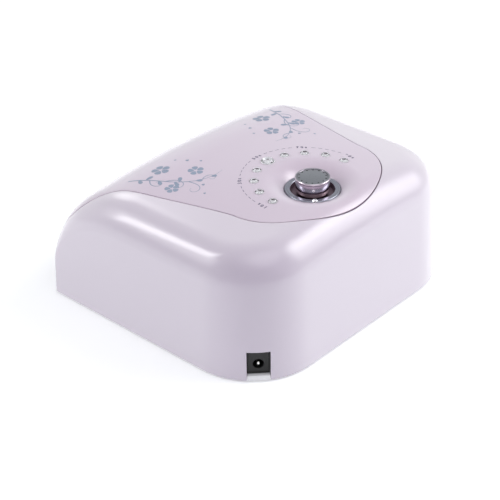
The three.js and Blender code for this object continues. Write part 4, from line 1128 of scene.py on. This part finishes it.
def lamp_facing(node):
    """The way that a lamp shines: down from the roof, or in from the side."""
    low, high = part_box(node)
    if high.x - low.x < high.z - low.z:
        return Vector((-math.copysign(1, low.x), 0, 0))
    return Vector((0, 0, -1))


def aimed(position, way):
    """The transform that puts a form's +Z along a way, at a position."""
    return Matrix.Translation(position) @ way.to_track_quat("Z", "X").to_matrix().to_4x4()


lining = tunnel_form(lining_wall, lining_front_y, lining_low_z)
carve(lining, tunnel_form(0, lining_front_y - overrun, rim_z - overrun))
holes = bmesh.new()
for node in lamps:
    hole = peg(lamp_radius + seam_gap, -overrun, overrun, steps=40)
    add_to(holes, moved(hole, aimed(middle_of(node), lamp_facing(node))))
carve(lining, new_piece("lamp_holes", holes))
smooth(lining, 40)
lining_white = moulded_material("reflector_white", (0.89, 0.88, 0.91, 1), 0.16, tint=0.02,
                                grain_scale=700, grain_depth=0.02, metallic=0.35, coat=0.5)
lining.data.materials.append(lining_white)
fit(lining, "reflector", "root")

# Lamp boards and lamps: twelve clear lenses with a phosphor chip on a bright cup, soldered to
# three white boards. Six lamps light from the roof and three from each side.
lens_length = 0.004
lens_rim = 0.002
dome_steps = 12
cup_profile = [(0, 0.0003), (0.0013, 0.0003), (0.0018, 0.0008), (0.0018, 0.0003), (0.0019, 0.0003),
               (0.0019, 0.0001), (0, 0.0001)]
chip_half = 0.0006
chip_low_z = 0.00032
chip_high_z = 0.00062
white_board = moulded_material("white_board", (0.82, 0.82, 0.78, 1), 0.4, tint=0.05,
                               grain_scale=1600, grain_depth=0.03)
for node in ("roof_board", "side_board_right", "side_board_left"):
    dress(node, white_board)
lens_clear = moulded_material("lamp_lens", (0.88, 0.84, 0.97, 1), 0.03, tint=0.02, grain_depth=0)
feed(lens_clear.node_tree.nodes["Principled BSDF"], {"Transmission Weight": 0.92, "IOR": 1.5})
lamp_chip = moulded_material("lamp_chip", (0.80, 0.66, 0.16, 1), 0.5, tint=0.1)
lens_profile = [(0, 0), (lamp_radius, 0)]
for k in range(dome_steps + 1):
    angle = math.pi / 2 * k / dome_steps
    lens_profile.append((lamp_radius * math.cos(angle), mix(lens_rim, lens_length, math.sin(angle))))
for node in lamps:
    facing = lamp_facing(node)
    bm = turned(lens_profile, steps=40)
    inner_forms = (turned(cup_profile, steps=28),
                   box_between((-chip_half, -chip_half, chip_low_z), (chip_half, chip_half, chip_high_z)))
    for number, form in enumerate(inner_forms):
        for face in form.faces:
            face.material_index = number + 1
        add_to(bm, form)
    place = aimed(middle_of(node) - facing * lens_length / 2, facing)
    lens = new_piece("lens_" + node, moved(bm, place), lens_clear, foil, lamp_chip)
    smooth(lens)
    fit(lens, node, "root")

# Control board behind the tunnel: a green board on four posts with capacitor, coil, chip and the
# lamps' header, kept from the CAD, and the leads between the boards, the inlet and the switch.
green_board = moulded_material("green_board", (0.03, 0.16, 0.07, 1), 0.35, tint=0.3, grain_scale=420,
                               grain_depth=0.03, coat=0.4)
copper = turned_metal("enamelled_copper", (0.62, 0.24, 0.10, 1), 0.3, (0, 0, 0), 2500, 0.15)
white_plastic = moulded_material("white_plastic", linear(222, 221, 225), 0.42, tint=0.04,
                                 grain_scale=1800, grain_depth=0.04)
red_sleeve = moulded_material("red_sleeve", (0.42, 0.02, 0.02, 1), 0.5, tint=0.1)
white_sleeve = moulded_material("white_sleeve", (0.68, 0.68, 0.66, 1), 0.5, tint=0.1)
dress("control_board", green_board)
dress("choke_coil", copper)
dress("lamp_connector", white_plastic)
dress("power_lead", red_sleeve, 60)
for node in ("capacitor", "controller_chip"):
    dress(node, black_plastic)
for node in ("board_screw_1", "board_screw_2"):
    dress(node, steel)
for node in ("lamp_lead_roof", "switch_lead", "lamp_lead_right", "lamp_lead_left"):
    dress(node, white_sleeve, 60)

# Power inlet: a matt black moulding in the notch of the rear corner, with a raised frame, a round
# socket and a nickel-plated centre pin. It stands on the base plate's tab.
inlet_axis_z = inlet_low.z + 0.006
face_thickness = 0.0016
frame_wall = 0.0009
frame_depth = 0.0005
frame_ease = 0.0004
block_half_width = 0.005
block_height = 0.011
block_depth = 0.0116
block_overlap = 0.0008
socket_radius = 0.003
socket_depth = 0.009
socket_ease = 0.0003
pin_radius = 0.001
pin_chamfer = 0.0005
pin_ease = 0.00015
pin_foot_depth = 0.0087
pin_tip_depth = 0.0008
along_x = Matrix.Translation((0, 0, inlet_axis_z)) @ Matrix.Rotation(math.pi / 2, 4, "Y")


def eased_box(low, high, width=0.00025):
    """A box with all its edges softly rounded."""
    box = box_between(low, high)
    bmesh.ops.bevel(box, geom=box.edges[:], offset=width, offset_type="OFFSET", segments=3,
                    profile=0.5, affect="EDGES", material=-1, clamp_overlap=True)
    return box


inlet = new_piece("inlet_body", eased_box(
    (inlet_face - face_thickness, -inlet_half_width, inlet_low.z),
    (inlet_face, inlet_half_width, inlet_high.z)), black_plastic)
block = new_piece("block", eased_box(
    (inlet_face - block_depth, -block_half_width, inlet_low.z),
    (inlet_face - block_overlap, block_half_width, inlet_low.z + block_height)))
carve(inlet, block, "UNION")
frame_cut = new_piece("frame_cut", eased_box(
    (inlet_face - frame_depth, frame_wall - inlet_half_width, inlet_low.z + frame_wall),
    (inlet_face + overrun, inlet_half_width - frame_wall, inlet_high.z - frame_wall), frame_ease))
carve(inlet, frame_cut)
mouth = inlet_face - frame_depth
socket = turned([
    (0, inlet_face - socket_depth), (socket_radius, inlet_face - socket_depth),
    (socket_radius, mouth - socket_ease), (socket_radius + socket_ease, mouth),
    (socket_radius + socket_ease, inlet_face + overrun), (0, inlet_face + overrun)], steps=56)
carve(inlet, new_piece("socket_cut", moved(socket, along_x)))
inlet.data.transform(inlet_frame)
smooth(inlet)
fit(inlet, "dc_jack", "root")
pin_tip = inlet_face - pin_tip_depth
pin_profile = [
    (0, inlet_face - pin_foot_depth), (pin_radius, inlet_face - pin_foot_depth),
    (pin_radius, pin_tip - pin_chamfer), (pin_radius - pin_chamfer, pin_tip), (0, pin_tip)]
bm = moved(turned(eased(pin_profile, pin_ease), steps=36), inlet_frame @ along_x)
nickel = moulded_material("nickel", (0.85, 0.84, 0.82, 1), 0.2, metallic=1)
pin = new_piece("inlet_pin", bm, nickel)
smooth(pin)
fit(pin, "dc_jack_pin", "root")

# Base plate: a white moulded plate inside the housing's rim, with a sill under the hand opening, a
# tab under the inlet, four posts for the board, four screws and four glued rubber feet.
plate_ease = 0.0003
plate_edge = shell_wall + 0.0004
sill_side_gap = 0.0004
face_gap = 0.0002
sill_end_y = front_y + 0.0066
tab_depth = 0.0066
post_spots = [(x, y) for x in (-0.0264, 0.0264) for y in (0.0480, 0.0638)]
post_radius = 0.0026
post_foot_z = rim_z + 0.0015
post_top_z = 0.0142
post_bore_radius = 0.0015
post_bore_end_z = 0.018
foot_pit_radius = 0.0062
foot_pit_gap = 0.0003
head_pit_radius = 0.0033
head_gap = 0.0001
screw_hole_radius = 0.0016
pad_radius = 0.0060
pad_edge_height = 0.0007
tread_radius = 0.0050
hollow_radius = 0.0030
hollow_depth = 0.0003
pad_ease = 0.0002
head_radius = 0.0030
head_face_radius = 0.0021
head_edge_height = 0.0006
head_height = 0.0014
screw_radius = 0.0013
screw_tip_start = 0.0107
screw_length = 0.0120
screw_ease = 0.00015
cross_long = 0.0018
cross_narrow = 0.00026
cross_depth = 0.0009
feet = ["foot_%d" % k for k in range(1, 5)]
screws = ["base_screw_%d" % k for k in range(1, 5)]
plate_plan = round_shouldered(half_width - plate_edge, front_y + plate_edge, rear_y - plate_edge,
                              corner_radius - plate_edge, 30)
plate_profile = [(-plate_ease, rim_z), (0, rim_z + plate_ease), (0, base_top_z - plate_ease),
                 (-plate_ease, base_top_z)]
plate = new_piece("bottom_plate", prism(plate_plan, plate_profile), white_plastic)
sill_half = tunnel_half_width - sill_side_gap
sill = eased_box((-sill_half, front_y + face_gap, rim_z), (sill_half, sill_end_y, base_top_z))
carve(plate, new_piece("sill", sill), "UNION")
tab = new_piece("tab", eased_box((corner_radius - tab_depth, -inlet_half_width, rim_z),
                                 (corner_radius - face_gap, inlet_half_width, base_top_z)))
tab.data.transform(inlet_frame)
carve(plate, tab, "UNION")
posts = bmesh.new()
bores = bmesh.new()
for x, y in post_spots:
    add_to(posts, peg(post_radius, post_foot_z, post_top_z, x, y, steps=32))
    add_to(bores, peg(post_bore_radius, base_top_z, post_bore_end_z, x, y, steps=24))
carve(plate, new_piece("posts", posts), "UNION")
for node in feet:
    x, y, _ = middle_of(node)
    add_to(bores, peg(foot_pit_radius, -overrun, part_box(node)[1].z + foot_pit_gap, x, y, steps=64))
for node in screws:
    x, y, _ = middle_of(node)
    pit_top_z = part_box(node)[0].z + head_height + head_gap
    add_to(bores, turned([
        (0, -overrun), (head_pit_radius, -overrun), (head_pit_radius, pit_top_z),
        (screw_hole_radius, pit_top_z), (screw_hole_radius, base_top_z + overrun),
        (0, base_top_z + overrun)], x, y, steps=40))
carve(plate, new_piece("bores", bores))
smooth(plate)
fit(plate, "base_plate", "root")

rubber = moulded_material("rubber", (0.028, 0.028, 0.030, 1), 0.75, tint=0.2, grain_scale=1800,
                          grain_depth=0.15)
for node in feet:
    x, y, _ = middle_of(node)
    pad_top_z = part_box(node)[1].z
    profile = [(0, hollow_depth), (hollow_radius, hollow_depth), (hollow_radius + hollow_depth, 0),
               (tread_radius, 0), (pad_radius, pad_edge_height), (pad_radius, pad_top_z), (0, pad_top_z)]
    foot = new_piece("pad_" + node, turned(eased(profile, pad_ease), x, y, steps=64), rubber)
    smooth(foot)
    fit(foot, node, "root")
screw_profile = [(0, 0), (head_face_radius, 0), (head_radius, head_edge_height), (head_radius, head_height),
                 (screw_radius, head_height), (screw_radius, screw_tip_start), (0, screw_length)]
for node in screws:
    x, y, _ = middle_of(node)
    spot = Vector((x, y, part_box(node)[0].z))
    bm = turned(eased(screw_profile, screw_ease), *spot, steps=40)
    screw = new_piece("pan_head_" + node, bm, steel)
    for half_x, half_y in ((cross_long, cross_narrow), (cross_narrow, cross_long)):
        recess = box_between((-half_x, -half_y, -overrun), (half_x, half_y, cross_depth))
        bmesh.ops.translate(recess, verts=recess.verts, vec=spot)
        carve(screw, new_piece("cross_cut", recess))
    smooth(screw)
    fit(screw, node, "root")

# Studio: a pale seamless floor, a white surround with soft boxes, and the camera at the
# photograph's viewing angle.
floor_half = 40.0
bm = bmesh.new()
bmesh.ops.create_grid(bm, x_segments=1, y_segments=1, size=floor_half)
floor_material, _, floor_shader = new_material("studio_floor")
feed(floor_shader, {"Base Color": (0.86, 0.87, 0.89, 1), "Roughness": 0.9, "Specular IOR Level": 0.1,
                    "Emission Color": (1, 1, 1, 1), "Emission Strength": 0.24})
floor = new_piece("studio_floor", bm, floor_material)

# The surround is brighter low on the far side, behind the lamp as the camera sees it
scene = bpy.context.scene
scene.view_settings.view_transform = "Standard"
far_side = (-0.60, -0.54, -0.60)
world = bpy.data.worlds.new("studio")
world.use_nodes = True
way_out = add_node(world.node_tree, "TexCoord", {}).outputs["Generated"]
facing_away = add_node(world.node_tree, "VectorMath", {0: way_out, 1: far_side},
                       operation="DOT_PRODUCT")
brightness = add_node(world.node_tree, "MapRange", {
    "Value": facing_away.outputs["Value"], "From Min": 0.3, "From Max": 0.7,
    "To Min": 0.58, "To Max": 0.84})
feed(world.node_tree.nodes["Background"], {"Color": (0.97, 0.98, 1, 1),
                                           "Strength": brightness.outputs["Result"]})
scene.world = world
aim = Vector((0, 0, 0.05))


def soft_box(name, position, width, height, power):
    """A soft box aimed at the lamp, brightest in its middle and fading out towards its edges."""
    light = bpy.data.lights.new(name, "AREA")
    light.shape = "RECTANGLE"
    light.size = width
    light.size_y = height
    light.energy = power
    light.use_nodes = True
    place = add_node(light.node_tree, "NewGeometry", {}).outputs["Parametric"]
    from_middle = add_node(light.node_tree, "VectorMath", {0: place, 1: (0.5, 0.5, 0)},
                           operation="DISTANCE")
    fade = add_node(light.node_tree, "MapRange", {
        "Value": from_middle.outputs["Value"], "From Min": 0.1, "From Max": 0.5,
        "To Min": 1, "To Max": 0}, interpolation_type="SMOOTHSTEP")
    feed(light.node_tree.nodes["Emission"], {"Strength": fade.outputs["Result"]})
    stand = bpy.data.objects.new(name, light)
    stand.location = position
    stand.rotation_euler = (aim - Vector(position)).to_track_quat("-Z", "Y").to_euler()
    scene.collection.objects.link(stand)
    return stand


soft_box("overhead_box", (0.25, 0.45, 1.10), 1.4, 1.4, 8)
shoulder_box = soft_box("shoulder_box", (-0.21, -0.78, 0.68), 0.6, 0.6, 3.6)
soft_box("side_strip", (0.75, -0.75, 0.85), 0.26, 1.3, 7)
soft_box("side_box", (0.85, -0.80, 0.75), 1.1, 1.1, 7)
soft_box("rear_box", (-0.77, 0.64, 0.70), 1.3, 1.5, 21)
soft_box("dish_box", (-0.58, 0.50, 0.88), 0.8, 0.8, 5)

# The shoulder box is flagged off the panel, so it lights the shell alone
shell_alone = bpy.data.collections.new("shell_alone")
shell_alone.objects.link(housing)
shoulder_box.light_linking.receiver_collection = shell_alone

camera_azimuth = math.radians(132.176)
camera_elevation = math.radians(31.721)
camera_roll = math.radians(-0.566)
camera_distance = 0.8548
camera_target = Vector((0.028744, 0.017114, 0.040))
back = Vector((math.sin(camera_azimuth) * math.cos(camera_elevation),
               -math.cos(camera_azimuth) * math.cos(camera_elevation), math.sin(camera_elevation)))
right = Vector((math.cos(camera_azimuth), math.sin(camera_azimuth), 0))
up = back.cross(right)
rolled_right = right * math.cos(camera_roll) + up * math.sin(camera_roll)
rolled_up = up * math.cos(camera_roll) - right * math.sin(camera_roll)
camera_data = bpy.data.cameras.new("photo_camera")
camera_data.lens = 105.25
camera_data.sensor_width = 36
camera = bpy.data.objects.new("photo_camera", camera_data)
camera.matrix_world = (Matrix.Translation(camera_target + back * camera_distance)
                       @ Matrix((rolled_right, rolled_up, back)).transposed().to_4x4())
scene.collection.objects.link(camera)
scene.camera = camera
